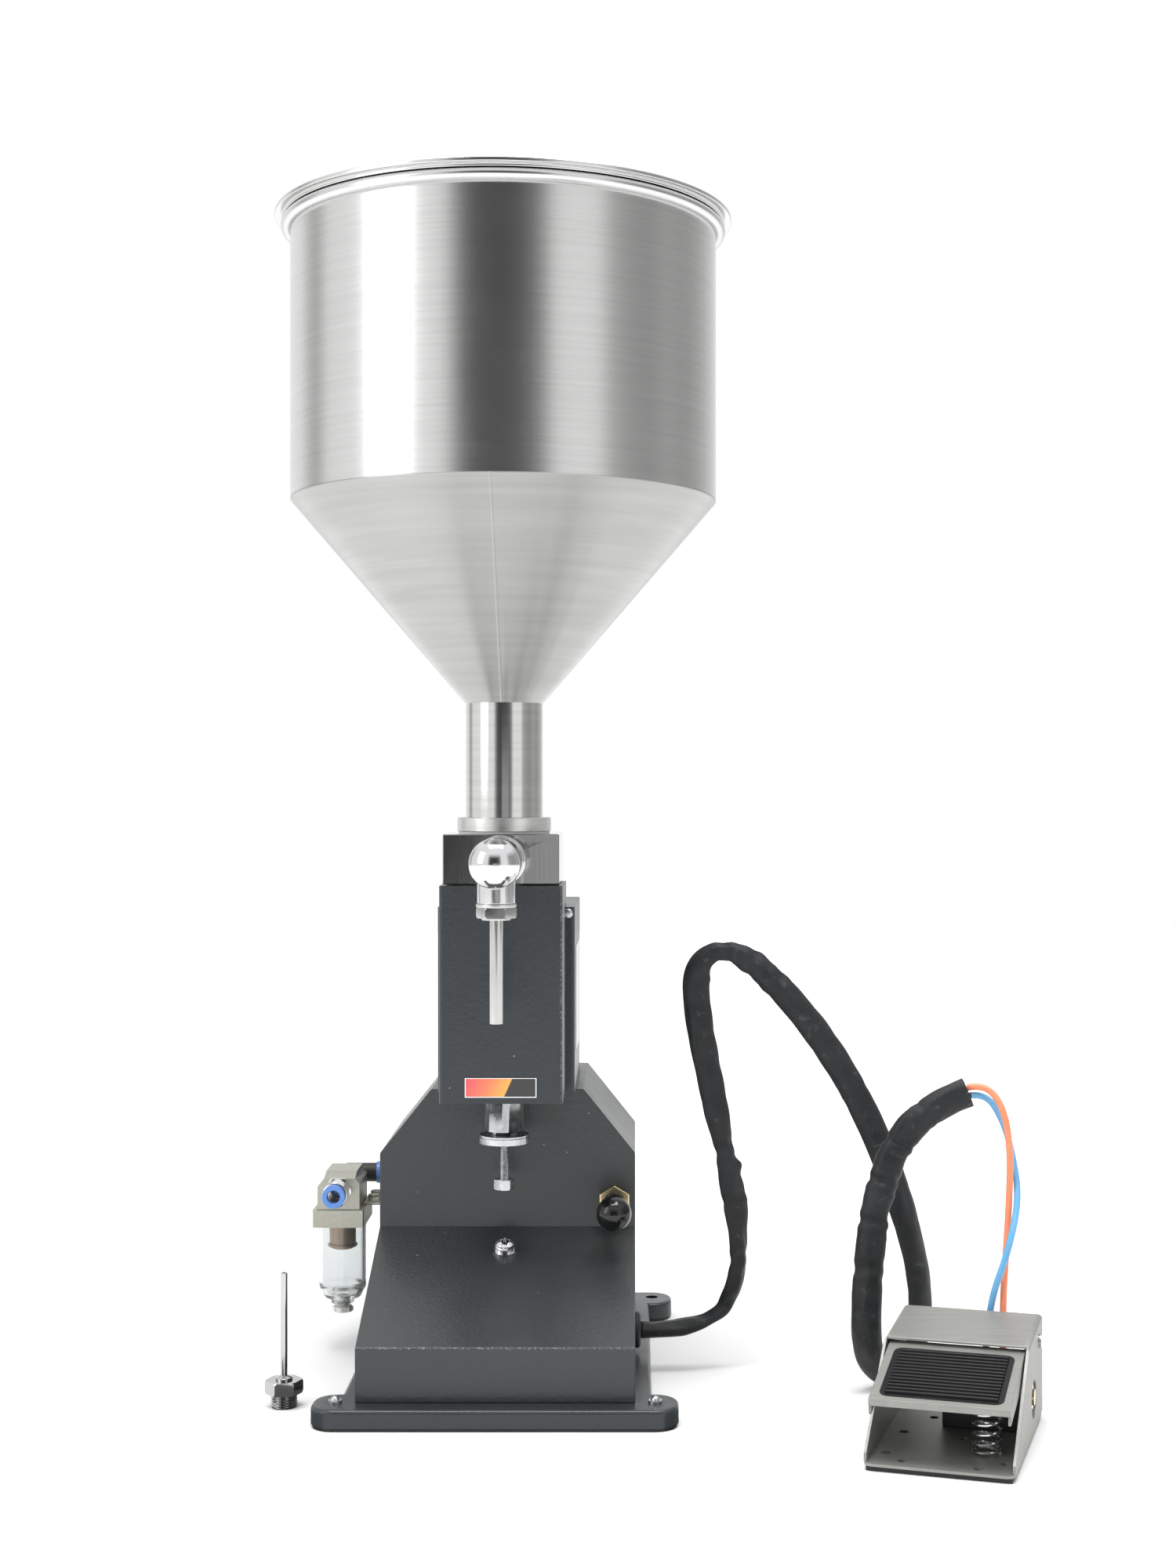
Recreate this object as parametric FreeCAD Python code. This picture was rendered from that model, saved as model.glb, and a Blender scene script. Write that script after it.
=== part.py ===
"""Piston liquid filler: a bench machine that fills a set volume of liquid or cream through one nozzle.

A hopper stands on a valve block. Under the block an air cylinder moves a filling piston, whose
stroke is set by a screw at the bottom. A foot pedal works the main air valve.

Frame: millimetres, +Z up, +Y to the rear, +X to the right of a person who faces the machine. The
origin is on the bench, under the middle of the base plate.
"""
import FreeCAD, Part
import math
import os

V = FreeCAD.Vector
UP = V(0, 0, 1)
DOWN = V(0, 0, -1)
FRONT = V(0, -1, 0)
REAR = V(0, 1, 0)
RIGHT = V(1, 0, 0)
LEFT = V(-1, 0, 0)

# Driving dimensions
SHEET = 1.5                    # painted sheet steel
RUNNING = 0.08                 # radial play of a sliding fit

# Base
MAT = 2.0                      # rubber mat under the base plate
PLATE_TOP = 12.4
PLATE_HALF = 90.0
EAR_HALF = 105.4
EAR_DEPTH = 35.0
PLATE_FRONT = -144.0
PLATE_REAR = 143.0
FOOT_X = 92.0                  # foot holes and studs
FOOT_Y = 127.5
FOOT_HOLE_R = 4.2
BOX_HALF = 80.5
BOX_FRONT = -129.0
BOX_REAR = 122.0
FRONT_LIP = 44.0               # height of the tray's front face
PANEL_Y = -7.4
PANEL_FOOT = 89.0              # height at which the tray meets the panel
BOX_TOP = 175.5
CHAMFER_Z = 135.0
CHAMFER_X = 48.0

# Column and casing
AXIS_Y = -40.0                 # hopper, filling piston and stroke screw share this axis
COLUMN_HALF = 42.8
COLUMN_FRONT = -21.0
COLUMN_REAR = 101.0
COLUMN_TOP = 291.0
CASING_HALF = 37.0
CASING_FRONT = -76.0
CASING_BOTTOM = 176.3
CASING_TOP = 306.7
HOOD_REAR = -8.0               # the casing's top reaches back over the column, under the valve block
WINDOW_HALF = 31.0             # opening in the column's front wall, for the cylinder

# Valve block and hopper
BLOCK_HALF = 35.0
BLOCK_BOTTOM = 307.5
BLOCK_TOP = 337.7
CHAMBER_R = 18.0
SEAT_Z = 326.0                 # inlet valve seat
INLET_R = 12.0
DISCHARGE_Z = 322.0
DISCHARGE_R = 8.0
GASKET = 1.0
COLLAR_R = 28.75
COLLAR_TOP = 347.3
NECK_R = 23.65
NECK_WALL = 1.6
NECK_TOP = 417.6
HOPPER_R = 130.0
HOPPER_WALL = 1.2
CONE_TOP = 541.0
RIM_Z = 706.0                  # middle of the rolled bead
BEAD_R = 3.3
LID_R = 139.5
LID_Z = 711.0                  # underside of the lid's edge
LID_SHEET = 2.4

# Discharge
ELBOW_R = 14.0
ELBOW_BORE = 11.0
ELBOW_END = -127.5
CAP_LENGTH = 7.5
CAP_R = 14.7
CAP_DOME_R = 16.5
BRANCH_Y = -116.0
BRANCH_R = 11.35
BRANCH_END = 298.5
NOZZLE_TOP = 296.3
NOZZLE_END = 228.6
NOZZLE_R = 4.0

# Filling and air cylinders
FILL_BORE = 20.0
FILL_WALL = 3.0
AIR_BORE = 25.0
AIR_WALL = 3.0
HEAD_BOTTOM = 241.0
HEAD_TOP = 253.0
FOOT_BOTTOM = 178.0
FOOT_TOP = 190.0
CAP_HALF = 29.0
TIE_OFFSET = 24.6
TIE_R = 2.5
PISTON_TOP = 306.5
PISTON_HEIGHT = 11.5
AIR_PISTON_TOP = 240.0
AIR_PISTON_HEIGHT = 9.5
ROD_R = 6.0
SCREW_R = 3.0
STOP_R = 11.5

# Hand valve on the panel
KNOB_X = 67.4
KNOB_Y = -46.5
KNOB_Z = 104.7
KNOB_R = 10.75

# Air filter on the left side
FILTER_X = -109.5
FILTER_Y = 35.0
FLANGE_BOTTOM = 84.0
FLANGE_TOP = 95.0
PORT_Z = 107.5
BOWL_R = 15.2
HOSE_BORE = 4.1                # for an 8 mm air hose

# Spare nozzle, stood on its thread beside the machine
SPARE_X = -127.0
SPARE_Y = -92.0

# Foot pedal: placed by the middle of its front edge, then turned
PEDAL_AT = V(240.9, -223.9, 0)
PEDAL_TURN = -17.0
PEDAL_HALF = 40.5
PEDAL_DEPTH = 128.0
PEDAL_MAT = 2.8
PEDAL_FLOOR = 4.3
LIP_V = 66.0                   # front edge of the pedal's cover
LIP_Z = 56.5
BACK_Z = 60.0
PIVOT_V = 112.0
PIVOT_Z = 48.0
TREAD_V = 4.0
TREAD_Z = 38.5
TREAD_HALF = 38.0

# Hose and tubes
HOSE_EXIT = (84, -16, 26)
SLEEVE_R = 7.0
TUBE_R = 2.0
SLEEVE_ROUTE = [
    HOSE_EXIT, (112, -16, 26), (139, -16.5, 39), (147, -17, 78), (139, -17.2, 126), (128, -17.6, 179),
    (119, -18, 224), (118, -18, 256), (142, -18.2, 265), (170, -18.5, 243), (204, -19, 200), (230, -19.5, 152),
    (248, -19.5, 102), (258, -17.5, 62), (260, -15, 27), (248, -30.5, 7.2), (231, -52.5, 7.2), (219, -68, 27),
    (220.5, -66, 68), (224, -66, 106), (235, -66, 146), (256, -66, 172), (281, -66, 182)]
ORANGE_ROUTE = [
    (280.7, -66, 184.6), (290.5, -68.5, 187.3), (301, -74.5, 175), (304.5, -79.5, 150), (303, -83, 118),
    (300, -88, 86), (296.5, -99, 60), (296.3, -100.7, 36.2)]
BLUE_ROUTE = [
    (282.5, -66, 179.9), (292.5, -64, 180.8), (302.5, -64.5, 165), (307.5, -69, 145), (309, -84, 121), (299.5, -98, 91),
    (288.5, -99.5, 63), (286.8, -97.8, 36.2)]


def save(name, shape):
    """Write one sub-part, and say what it is."""
    shape.exportStep("parts/" + name + ".step")
    print(name, len(shape.Solids), "solids, valid", shape.isValid())


def box(x0, x1, y0, y1, z0, z1):
    return Part.makeBox(x1 - x0, y1 - y0, z1 - z0, V(x0, y0, z0))


def rod(radius, start, length, direction=UP):
    return Part.makeCylinder(radius, length, V(*start), direction)


def ring(outer, inner, start, length, direction=UP):
    return rod(outer, start, length, direction).cut(rod(inner, start, length, direction))


def prism(corners, depth):
    """A flat outline of 3-D corners, pushed along a vector."""
    outline = [V(*corner) for corner in corners]
    return Part.Face(Part.makePolygon(outline + outline[:1])).extrude(depth)


def turned(profile, x=0.0, y=0.0):
    """A closed profile of (radius, height) corners, turned about a vertical axis."""
    outline = [V(x + r, y, z) for r, z in profile]
    return Part.Face(Part.makePolygon(outline + outline[:1])).revolve(V(x, y, 0), UP, 360)


def hexagon(across_flats, start, length, direction=UP, flat_towards=RIGHT):
    """A six-sided prism with one flat facing the given way."""
    start = V(*start)
    side = direction.cross(flat_towards)
    corner_r = across_flats / math.sqrt(3)
    corners = []
    for step in range(6):
        angle = math.radians(30 + 60 * step)
        corners.append(start + flat_towards * (corner_r * math.cos(angle)) + side * (corner_r * math.sin(angle)))
    return Part.Face(Part.makePolygon(corners + corners[:1])).extrude(direction * length)


def spring(mean_r, wire_r, start, length, turns, direction=UP):
    """A round-wire coil spring between two flat seats, each turn made of short straight lengths."""
    per_turn = 12
    steps = turns * per_turn
    points = []
    for step in range(steps + 1):
        angle = 2 * math.pi * step / per_turn
        height = wire_r + (length - 2 * wire_r) * step / steps
        points.append(V(mean_r * math.cos(angle), mean_r * math.sin(angle), height))
    wire = Part.makePolygon(points)
    section = Part.Wire(Part.makeCircle(wire_r, points[0], points[1] - points[0]))
    mitred = 1
    coil = wire.makePipeShell([section], True, False, mitred)
    coil.Placement = FreeCAD.Placement(V(*start), FreeCAD.Rotation(UP, direction))
    return coil


def tube(name, route, radius):
    """A round tube along straight runs joined by tangent arcs. Prints each arc's radius."""
    points = [V(*point) for point in route]
    edges = []
    radii = []
    here = points[0]
    for before, corner, after in zip(points, points[1:], points[2:]):
        run_in = corner - before
        run_out = after - corner
        turn = run_in.getAngle(run_out)
        radius_here = 0.45 * min(run_in.Length, run_out.Length) / math.tan(turn / 2)
        reach = radius_here * math.tan(turn / 2)
        way_in = V(run_in).normalize()
        way_out = V(run_out).normalize()
        first = corner - way_in * reach
        last = corner + way_out * reach
        to_centre = (way_out - way_in).normalize()
        middle = corner + to_centre * (radius_here / math.cos(turn / 2) - radius_here)
        edges.append(Part.LineSegment(here, first).toShape())
        edges.append(Part.Arc(first, middle, last).toShape())
        radii.append(round(radius_here, 1))
        here = last
    edges.append(Part.LineSegment(here, points[-1]).toShape())
    path = Part.Wire(edges)
    start_way = V(points[1] - points[0]).normalize()
    section = Part.Wire(Part.makeCircle(radius, points[0], start_way))
    pipe = path.makePipeShell([section], True, True)
    expected = math.pi * radius ** 2 * path.Length
    print(name, "length", round(path.Length, 1), "radii", radii, "volume ratio", round(pipe.Volume / expected, 4))
    return pipe


def in_pedal(shape):
    """Place a shape made in the pedal's own frame, x across, y to the rear, from its front edge."""
    place = FreeCAD.Placement(PEDAL_AT, FreeCAD.Rotation(UP, PEDAL_TURN))
    moved = shape.copy()
    moved.Placement = place.multiply(shape.Placement)
    return moved


# Base

def plate_outline(shrink, bottom, height):
    """The base plate: a straight waist with two rounded ears on each side."""
    plate = box(-PLATE_HALF + shrink, PLATE_HALF - shrink, PLATE_FRONT + shrink, PLATE_REAR - shrink,
                bottom, bottom + height)
    for front, rear in ((PLATE_FRONT, PLATE_FRONT + EAR_DEPTH), (PLATE_REAR - EAR_DEPTH, PLATE_REAR)):
        ear = box(-EAR_HALF + shrink, EAR_HALF - shrink, front + shrink, rear - shrink, bottom, bottom + height)
        ear = ear.makeFillet(14.0 - shrink, upright_edges(ear))
        plate = plate.fuse(ear)
    return plate.removeSplitter()


def upright_edges(shape):
    return [edge for edge in shape.Edges if edge.tangentAt(edge.FirstParameter).isEqual(UP, 1e-6)
            or edge.tangentAt(edge.FirstParameter).isEqual(DOWN, 1e-6)]


def foot_holes(radius, bottom, height):
    spots = [(x, y) for x in (-FOOT_X, FOOT_X) for y in (-FOOT_Y, FOOT_Y)]
    return Part.makeCompound([rod(radius, (x, y, bottom), height) for x, y in spots])


def floor_mats():
    base = plate_outline(1.0, 0, MAT).cut(foot_holes(FOOT_HOLE_R + 2, 0, MAT))
    pedal = in_pedal(box(-PEDAL_HALF + 1.5, PEDAL_HALF - 1.5, 1.5, PEDAL_DEPTH - 1.5, 0, PEDAL_MAT))
    return Part.makeCompound([base, pedal])


def base_plate():
    plate = plate_outline(0, MAT, PLATE_TOP - MAT)
    top = [edge for edge in plate.Edges if abs(edge.CenterOfMass.z - PLATE_TOP) < 1e-6]
    plate = plate.makeFillet(2.5, top)
    return plate.cut(foot_holes(FOOT_HOLE_R, 0, PLATE_TOP + 1))


def box_body(inset, bottom):
    """Tray and rear box as one solid, drawn in by the sheet's thickness for the inside."""
    slope = (PANEL_FOOT - FRONT_LIP) / (PANEL_Y - BOX_FRONT)
    drop = inset * math.sqrt(1 + slope ** 2)
    lip = FRONT_LIP - drop + inset * slope
    overlap = PANEL_Y + 6
    tray = prism([(-BOX_HALF + inset, BOX_FRONT + inset, bottom), (-BOX_HALF + inset, BOX_FRONT + inset, lip),
                  (-BOX_HALF + inset, PANEL_Y, PANEL_FOOT - drop), (-BOX_HALF + inset, overlap, PANEL_FOOT - drop),
                  (-BOX_HALF + inset, overlap, bottom)], RIGHT * (2 * (BOX_HALF - inset)))
    side = BOX_HALF - inset
    shoulder = CHAMFER_Z - 0.4 * inset
    top_x = CHAMFER_X - 0.4 * inset
    top = BOX_TOP - inset
    panel = PANEL_Y + inset
    rear = prism([(-side, panel, bottom), (-side, panel, shoulder), (-top_x, panel, top), (top_x, panel, top),
                  (side, panel, shoulder), (side, panel, bottom)], REAR * (BOX_REAR - inset - panel))
    return tray.fuse(rear).removeSplitter()


def base_box():
    body = box_body(0, PLATE_TOP).cut(box_body(SHEET, PLATE_TOP - 1))
    openings = [
        box(-46, 46, BOX_REAR - 5, BOX_REAR + 5, 24, 164),
        rod(7.3, (KNOB_X, PANEL_Y - 5, KNOB_Z), 10, REAR),
        rod(9.1, (BOX_HALF - 5, HOSE_EXIT[1], HOSE_EXIT[2]), 10, RIGHT),
        rod(4.4, (-BOX_HALF - 5, 66, 110), 10, RIGHT),
        rod(3.7, (0, -33, 60), 40),
        box(-20, 20, 20, 60, BOX_TOP - 5, BOX_TOP + 5)]
    for opening in openings:
        body = body.cut(opening)
    return body


def rear_covers():
    lower = box(-52, 52, BOX_REAR, BOX_REAR + SHEET, 18, 170)
    upper = box(-38, 38, COLUMN_REAR, COLUMN_REAR + SHEET, 181, 286)
    for row in range(5):
        z = 206 + 12 * row
        upper = upper.cut(box(-22, 22, COLUMN_REAR - 1, COLUMN_REAR + 3, z, z + 3))
    return Part.makeCompound([lower, upper])


def column_box():
    outer = box(-COLUMN_HALF, COLUMN_HALF, COLUMN_FRONT, COLUMN_REAR, BOX_TOP, COLUMN_TOP)
    outer = outer.makeFillet(2.0, upright_edges(outer))
    inner = box(-COLUMN_HALF + SHEET, COLUMN_HALF - SHEET, COLUMN_FRONT + SHEET, COLUMN_REAR - SHEET,
                BOX_TOP + SHEET, COLUMN_TOP - SHEET)
    body = outer.cut(inner)
    body = body.cut(box(-WINDOW_HALF, WINDOW_HALF, COLUMN_FRONT - 1, -10, BOX_TOP + SHEET, COLUMN_TOP + 1))
    body = body.cut(box(-34, 34, COLUMN_REAR - 5, COLUMN_REAR + 5, 186, 281))
    return body.cut(box(-20, 20, 20, 60, BOX_TOP - 1, BOX_TOP + 5))


def front_casing():
    outer = box(-CASING_HALF, CASING_HALF, CASING_FRONT, COLUMN_FRONT, CASING_BOTTOM, CASING_TOP)
    front_edges = [edge for edge in upright_edges(outer) if edge.CenterOfMass.y < CASING_FRONT + 1]
    outer = outer.makeFillet(2.0, front_edges)
    inner = box(-CASING_HALF + SHEET, CASING_HALF - SHEET, CASING_FRONT + SHEET, COLUMN_FRONT + 1,
                CASING_BOTTOM + SHEET, CASING_TOP - SHEET)
    body = outer.cut(inner)
    hood = box(-CASING_HALF, CASING_HALF, COLUMN_FRONT, HOOD_REAR, COLUMN_TOP + RUNNING, CASING_TOP)
    hood = hood.cut(box(-CASING_HALF + SHEET, CASING_HALF - SHEET, COLUMN_FRONT - 1, HOOD_REAR - SHEET,
                        COLUMN_TOP, CASING_TOP - SHEET))
    body = body.fuse(hood).removeSplitter()
    body = body.cut(rod(12.2, (0, AXIS_Y, CASING_BOTTOM - 1), 5))
    return body.cut(rod(FILL_BORE + FILL_WALL + 0.4, (0, AXIS_Y, CASING_TOP - 4), 6))


def cover_screw(x, y, z):
    """A pan-head screw that stands on a rear cover."""
    head = rod(3.4, (x, y, z), 2.0, REAR)
    slot = box(x - 2.2, x + 2.2, y + 1.2, y + 3, z - 0.4, z + 0.4)
    return head.cut(slot).cut(box(x - 0.4, x + 0.4, y + 1.2, y + 3, z - 2.2, z + 2.2))


def fasteners():
    pieces = []
    for x in (-FOOT_X, FOOT_X):
        stud = rod(FOOT_HOLE_R - 0.2, (x, -FOOT_Y, 0.4), PLATE_TOP + 1.2)
        pieces.append(stud.fuse(Part.makeSphere(2.6, V(x, -FOOT_Y, PLATE_TOP + 1.4))))
    for x in (-48.5, 48.5):
        for z in (24, 94, 164):
            pieces.append(cover_screw(x, BOX_REAR + SHEET, z))
    for x in (-35.5, 35.5):
        for z in (186, 281):
            pieces.append(cover_screw(x, COLUMN_REAR + SHEET, z))
    for x in (-TIE_OFFSET, TIE_OFFSET):
        for y in (AXIS_Y - TIE_OFFSET, AXIS_Y + TIE_OFFSET):
            tie = rod(TIE_R, (x, y, FOOT_BOTTOM + 0.2), HEAD_TOP + 6 - FOOT_BOTTOM)
            pieces.append(tie.fuse(hexagon(8, (x, y, HEAD_TOP), 4)))
    return Part.makeCompound(pieces)


def tray_screw():
    """A cross-recess screw on two washers, square to the sloping tray."""
    slope = math.degrees(math.atan2(PANEL_FOOT - FRONT_LIP, PANEL_Y - BOX_FRONT))
    washer = rod(8.0, (0, 0, 0), 1.4)
    spring_washer = ring(6.4, 3.0, (0, 0, 1.4), 1.6)
    head = rod(6.2, (0, 0, 3.0), 2.0)
    dome = Part.makeSphere(8.4, V(0, 0, -0.9)).common(rod(6.2, (0, 0, 5.0), 4))
    shank = rod(3.0, (0, 0, -9), 12.2)
    screw = washer.fuse([spring_washer, head, dome, shank])
    for across in (RIGHT, REAR):
        half = across * 3.2 + (RIGHT + REAR - across) * 0.7
        screw = screw.cut(box(-half.x, half.x, -half.y, half.y, 5.4, 9))
    seat_z = FRONT_LIP + (-33 - BOX_FRONT) * math.tan(math.radians(slope))
    screw.Placement = FreeCAD.Placement(V(0, -33, seat_z), FreeCAD.Rotation(RIGHT, slope))
    return screw


def name_plates():
    badge = box(-8.0, 35.0, CASING_FRONT - 1.0, CASING_FRONT, 180, 192)
    badge.translate(V(-13.5, 0, 0))
    rating = box(COLUMN_HALF, COLUMN_HALF + 0.5, 0, 64, 199, 265)
    return Part.makeCompound([badge, rating])


# Valve block, discharge and hopper

def valve_block():
    block = box(-BLOCK_HALF, BLOCK_HALF, AXIS_Y - BLOCK_HALF, AXIS_Y + BLOCK_HALF, BLOCK_BOTTOM, BLOCK_TOP)
    block = block.makeChamfer(0.6, block.Edges)
    bores = [
        rod(INLET_R, (0, AXIS_Y, SEAT_Z - 1), BLOCK_TOP - SEAT_Z + 2),
        rod(CHAMBER_R, (0, AXIS_Y, BLOCK_BOTTOM - 1), SEAT_Z - BLOCK_BOTTOM + 1),
        rod(DISCHARGE_R, (0, AXIS_Y - BLOCK_HALF - 1, DISCHARGE_Z - 0.4), BLOCK_HALF - 13, REAR)]
    for bore in bores:
        block = block.cut(bore)
    return block


def product_gaskets():
    neck = ring(COLLAR_R - 0.8, NECK_R - NECK_WALL, (0, AXIS_Y, BLOCK_TOP), GASKET)
    nozzle = ring(BRANCH_R + 0.5, 6.0, (0, BRANCH_Y, NOZZLE_TOP), BRANCH_END - NOZZLE_TOP)
    return Part.makeCompound([neck, nozzle])


def hopper_neck():
    neck = ring(NECK_R, NECK_R - NECK_WALL, (0, AXIS_Y, BLOCK_TOP + GASKET), NECK_TOP - BLOCK_TOP - GASKET)
    collar = ring(COLLAR_R, NECK_R - NECK_WALL, (0, AXIS_Y, BLOCK_TOP + GASKET), COLLAR_TOP - BLOCK_TOP - GASKET)
    rims = [edge for edge in collar.Edges if edge.Length > 170 and len(edge.Vertexes) == 1]
    return collar.makeChamfer(0.5, rims).fuse(neck).removeSplitter()


def hopper_cone():
    rise = CONE_TOP - NECK_TOP
    run = HOPPER_R - NECK_R
    across = HOPPER_WALL * math.hypot(rise, run) / rise
    return turned([(NECK_R, NECK_TOP), (HOPPER_R, CONE_TOP), (HOPPER_R - across, CONE_TOP),
                   (NECK_R - across, NECK_TOP)], 0, AXIS_Y)


def hopper_shell():
    wall = ring(HOPPER_R, HOPPER_R - HOPPER_WALL, (0, AXIS_Y, CONE_TOP), RIM_Z - CONE_TOP)
    bead = Part.makeTorus(HOPPER_R + BEAD_R - 0.4, BEAD_R, V(0, AXIS_Y, RIM_Z))
    return wall.fuse(bead)


def hopper_lid():
    lid = turned([(0, LID_Z), (125.5, LID_Z), (125.5, LID_Z - 12), (127, LID_Z - 12), (127, LID_Z),
                  (131, LID_Z), (131, LID_Z - 1.6), (135, LID_Z - 1.6), (135, LID_Z), (LID_R - 0.6, LID_Z),
                  (LID_R, LID_Z + 0.6), (LID_R, LID_Z + LID_SHEET - 0.6), (LID_R - 0.6, LID_Z + LID_SHEET),
                  (120, LID_Z + LID_SHEET), (114, LID_Z + LID_SHEET + 2), (0, LID_Z + LID_SHEET + 2)], 0, AXIS_Y)
    return lid


def lid_knob():
    seat = LID_Z + LID_SHEET + 2
    return turned([(0, seat), (9, seat), (9, seat + 2), (5, seat + 5), (5, seat + 9), (13, seat + 14),
                   (14, seat + 18), (12, seat + 22), (0, seat + 23.5)], 0, AXIS_Y)


def discharge_elbow():
    face = AXIS_Y - BLOCK_HALF
    body = rod(ELBOW_R, (0, face, DISCHARGE_Z), face - ELBOW_END, FRONT)
    body = body.fuse([rod(15.1, (0, face, DISCHARGE_Z), 4, FRONT),
                      rod(BRANCH_R, (0, BRANCH_Y, DISCHARGE_Z), DISCHARGE_Z - BRANCH_END, DOWN)])
    body = body.cut(rod(ELBOW_BORE, (0, face, DISCHARGE_Z), face - ELBOW_END, FRONT))
    return body.cut(rod(6.0, (0, BRANCH_Y, DISCHARGE_Z), DISCHARGE_Z - BRANCH_END, DOWN))


def outlet_cap():
    barrel = rod(CAP_R, (0, ELBOW_END, DISCHARGE_Z), CAP_LENGTH, FRONT)
    edge_y = ELBOW_END - CAP_LENGTH
    centre_y = edge_y + math.sqrt(CAP_DOME_R ** 2 - CAP_R ** 2)
    dome = Part.makeSphere(CAP_DOME_R, V(0, centre_y, DISCHARGE_Z))
    front = dome.common(rod(CAP_R, (0, edge_y, DISCHARGE_Z), 20, FRONT))
    return barrel.fuse(front)


def filling_nozzle():
    nut = hexagon(20.5, (0, BRANCH_Y, 289.9), NOZZLE_TOP - 289.9, UP, FRONT)
    stem = rod(NOZZLE_R, (0, BRANCH_Y, NOZZLE_END), NOZZLE_TOP - NOZZLE_END)
    return nut.fuse(stem).cut(rod(NOZZLE_R - 0.8, (0, BRANCH_Y, NOZZLE_END), NOZZLE_TOP - NOZZLE_END))


def spare_nozzle():
    """A finer nozzle for small fills."""
    thread = rod(7.8, (SPARE_X, SPARE_Y, 0), 8)
    nut = hexagon(19.6, (SPARE_X, SPARE_Y, 8), 8, UP, V(0.94, -0.342, 0))
    shoulder = rod(5.0, (SPARE_X, SPARE_Y, 16), 1.6)
    stem = rod(2.0, (SPARE_X, SPARE_Y, 17.6), 61.4)
    return thread.fuse([nut, shoulder, stem]).cut(rod(1.2, (SPARE_X, SPARE_Y, 0), 79))


def spider(centre, outer, hub, bore, length, direction):
    """A rim, a hub and three arms that guide a valve stem and let the product past."""
    body = ring(outer, outer - 2, centre, length, direction).fuse(ring(hub, bore, centre, length, direction))
    for angle in (90, 210, 330):
        arm = box(hub - 0.8, outer - 1, -1.5, 1.5, 0, length)
        arm.Placement = FreeCAD.Placement(V(*centre), FreeCAD.Rotation(UP, direction)).multiply(
            FreeCAD.Placement(V(), FreeCAD.Rotation(UP, angle)))
        body = body.fuse(arm)
    return body


def poppet_guides():
    inlet = spider((0, AXIS_Y, 311), CHAMBER_R - 0.05, 5, 2.5 + RUNNING, 2, UP)
    outlet = spider((0, -98, DISCHARGE_Z), ELBOW_BORE - 0.05, 4.6, 2.5 + RUNNING, 2, FRONT)
    return Part.makeCompound([inlet, outlet])


def inlet_poppet():
    disc = rod(14.0, (0, AXIS_Y, 322), 3.7)
    return disc.fuse(rod(2.5, (0, AXIS_Y, 311.2), 11))


def outlet_poppet():
    disc = rod(9.6, (0, -75.4, DISCHARGE_Z), 3.6, FRONT)
    return disc.fuse(rod(2.5, (0, -79, DISCHARGE_Z), 21.5, FRONT))


# Filling piston and air cylinder

def fill_cylinder():
    return ring(FILL_BORE + FILL_WALL, FILL_BORE, (0, AXIS_Y, HEAD_TOP), BLOCK_BOTTOM - HEAD_TOP)


def fill_piston():
    bottom = PISTON_TOP - PISTON_HEIGHT
    piston = rod(FILL_BORE - RUNNING, (0, AXIS_Y, bottom), PISTON_HEIGHT)
    for z in (297.5, 301.5):
        piston = piston.cut(ring(FILL_BORE + 1, 17.5, (0, AXIS_Y, z), 2.6))
    return piston


def piston_seals():
    return Part.makeCompound([Part.makeTorus(18.72, 1.2, V(0, AXIS_Y, z)) for z in (298.8, 302.8)])


def piston_rod():
    shaft = rod(ROD_R, (0, AXIS_Y, AIR_PISTON_TOP - 1), PISTON_TOP - PISTON_HEIGHT - AIR_PISTON_TOP + 1)
    head = rod(AIR_BORE - RUNNING, (0, AXIS_Y, AIR_PISTON_TOP - AIR_PISTON_HEIGHT), AIR_PISTON_HEIGHT)
    return shaft.fuse(head.cut(ring(AIR_BORE + 1, 23, (0, AXIS_Y, AIR_PISTON_TOP - 6.3), 3)))


def cylinder_tube():
    return ring(AIR_BORE + AIR_WALL, AIR_BORE, (0, AXIS_Y, FOOT_TOP), HEAD_BOTTOM - FOOT_TOP)


def end_cap(bottom, top):
    """A square cylinder cap with its four tie-rod holes and an air port at the rear."""
    cap = box(-CAP_HALF, CAP_HALF, AXIS_Y - CAP_HALF, AXIS_Y + CAP_HALF, bottom, top)
    cap = cap.makeFillet(3, upright_edges(cap))
    for x in (-TIE_OFFSET, TIE_OFFSET):
        for y in (AXIS_Y - TIE_OFFSET, AXIS_Y + TIE_OFFSET):
            cap = cap.cut(rod(TIE_R + 0.1, (x, y, bottom - 1), top - bottom + 2))
    return cap.cut(rod(2.4, (0, AXIS_Y + CAP_HALF + 1, (bottom + top) / 2), 12, FRONT))


def cylinder_head():
    return end_cap(HEAD_BOTTOM, HEAD_TOP).cut(rod(ROD_R + RUNNING, (0, AXIS_Y, HEAD_BOTTOM - 1), 20))


def cylinder_foot():
    """Bottom cap with the boss that carries the stroke screw's thread."""
    cap = end_cap(FOOT_BOTTOM, FOOT_TOP)
    cap = cap.fuse([rod(11.8, (0, AXIS_Y, 155), FOOT_BOTTOM - 154), rod(8.4, (0, AXIS_Y, 152.9), 3)])
    cap = cap.cut(rod(STOP_R + 0.5, (0, AXIS_Y, 184.5), 10))
    return cap.cut(rod(SCREW_R + RUNNING, (0, AXIS_Y, 150), 40))


def stroke_stop():
    return rod(5, (0, AXIS_Y, 184.9), 1.2).fuse(rod(STOP_R, (0, AXIS_Y, 186), 3.5))


def stroke_screw():
    head = hexagon(11.2, (0, AXIS_Y, 118.5), 6.2, UP, V(0.92, -0.392, 0))
    return head.fuse(rod(SCREW_R, (0, AXIS_Y, 124), 184.8 - 124))


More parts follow.
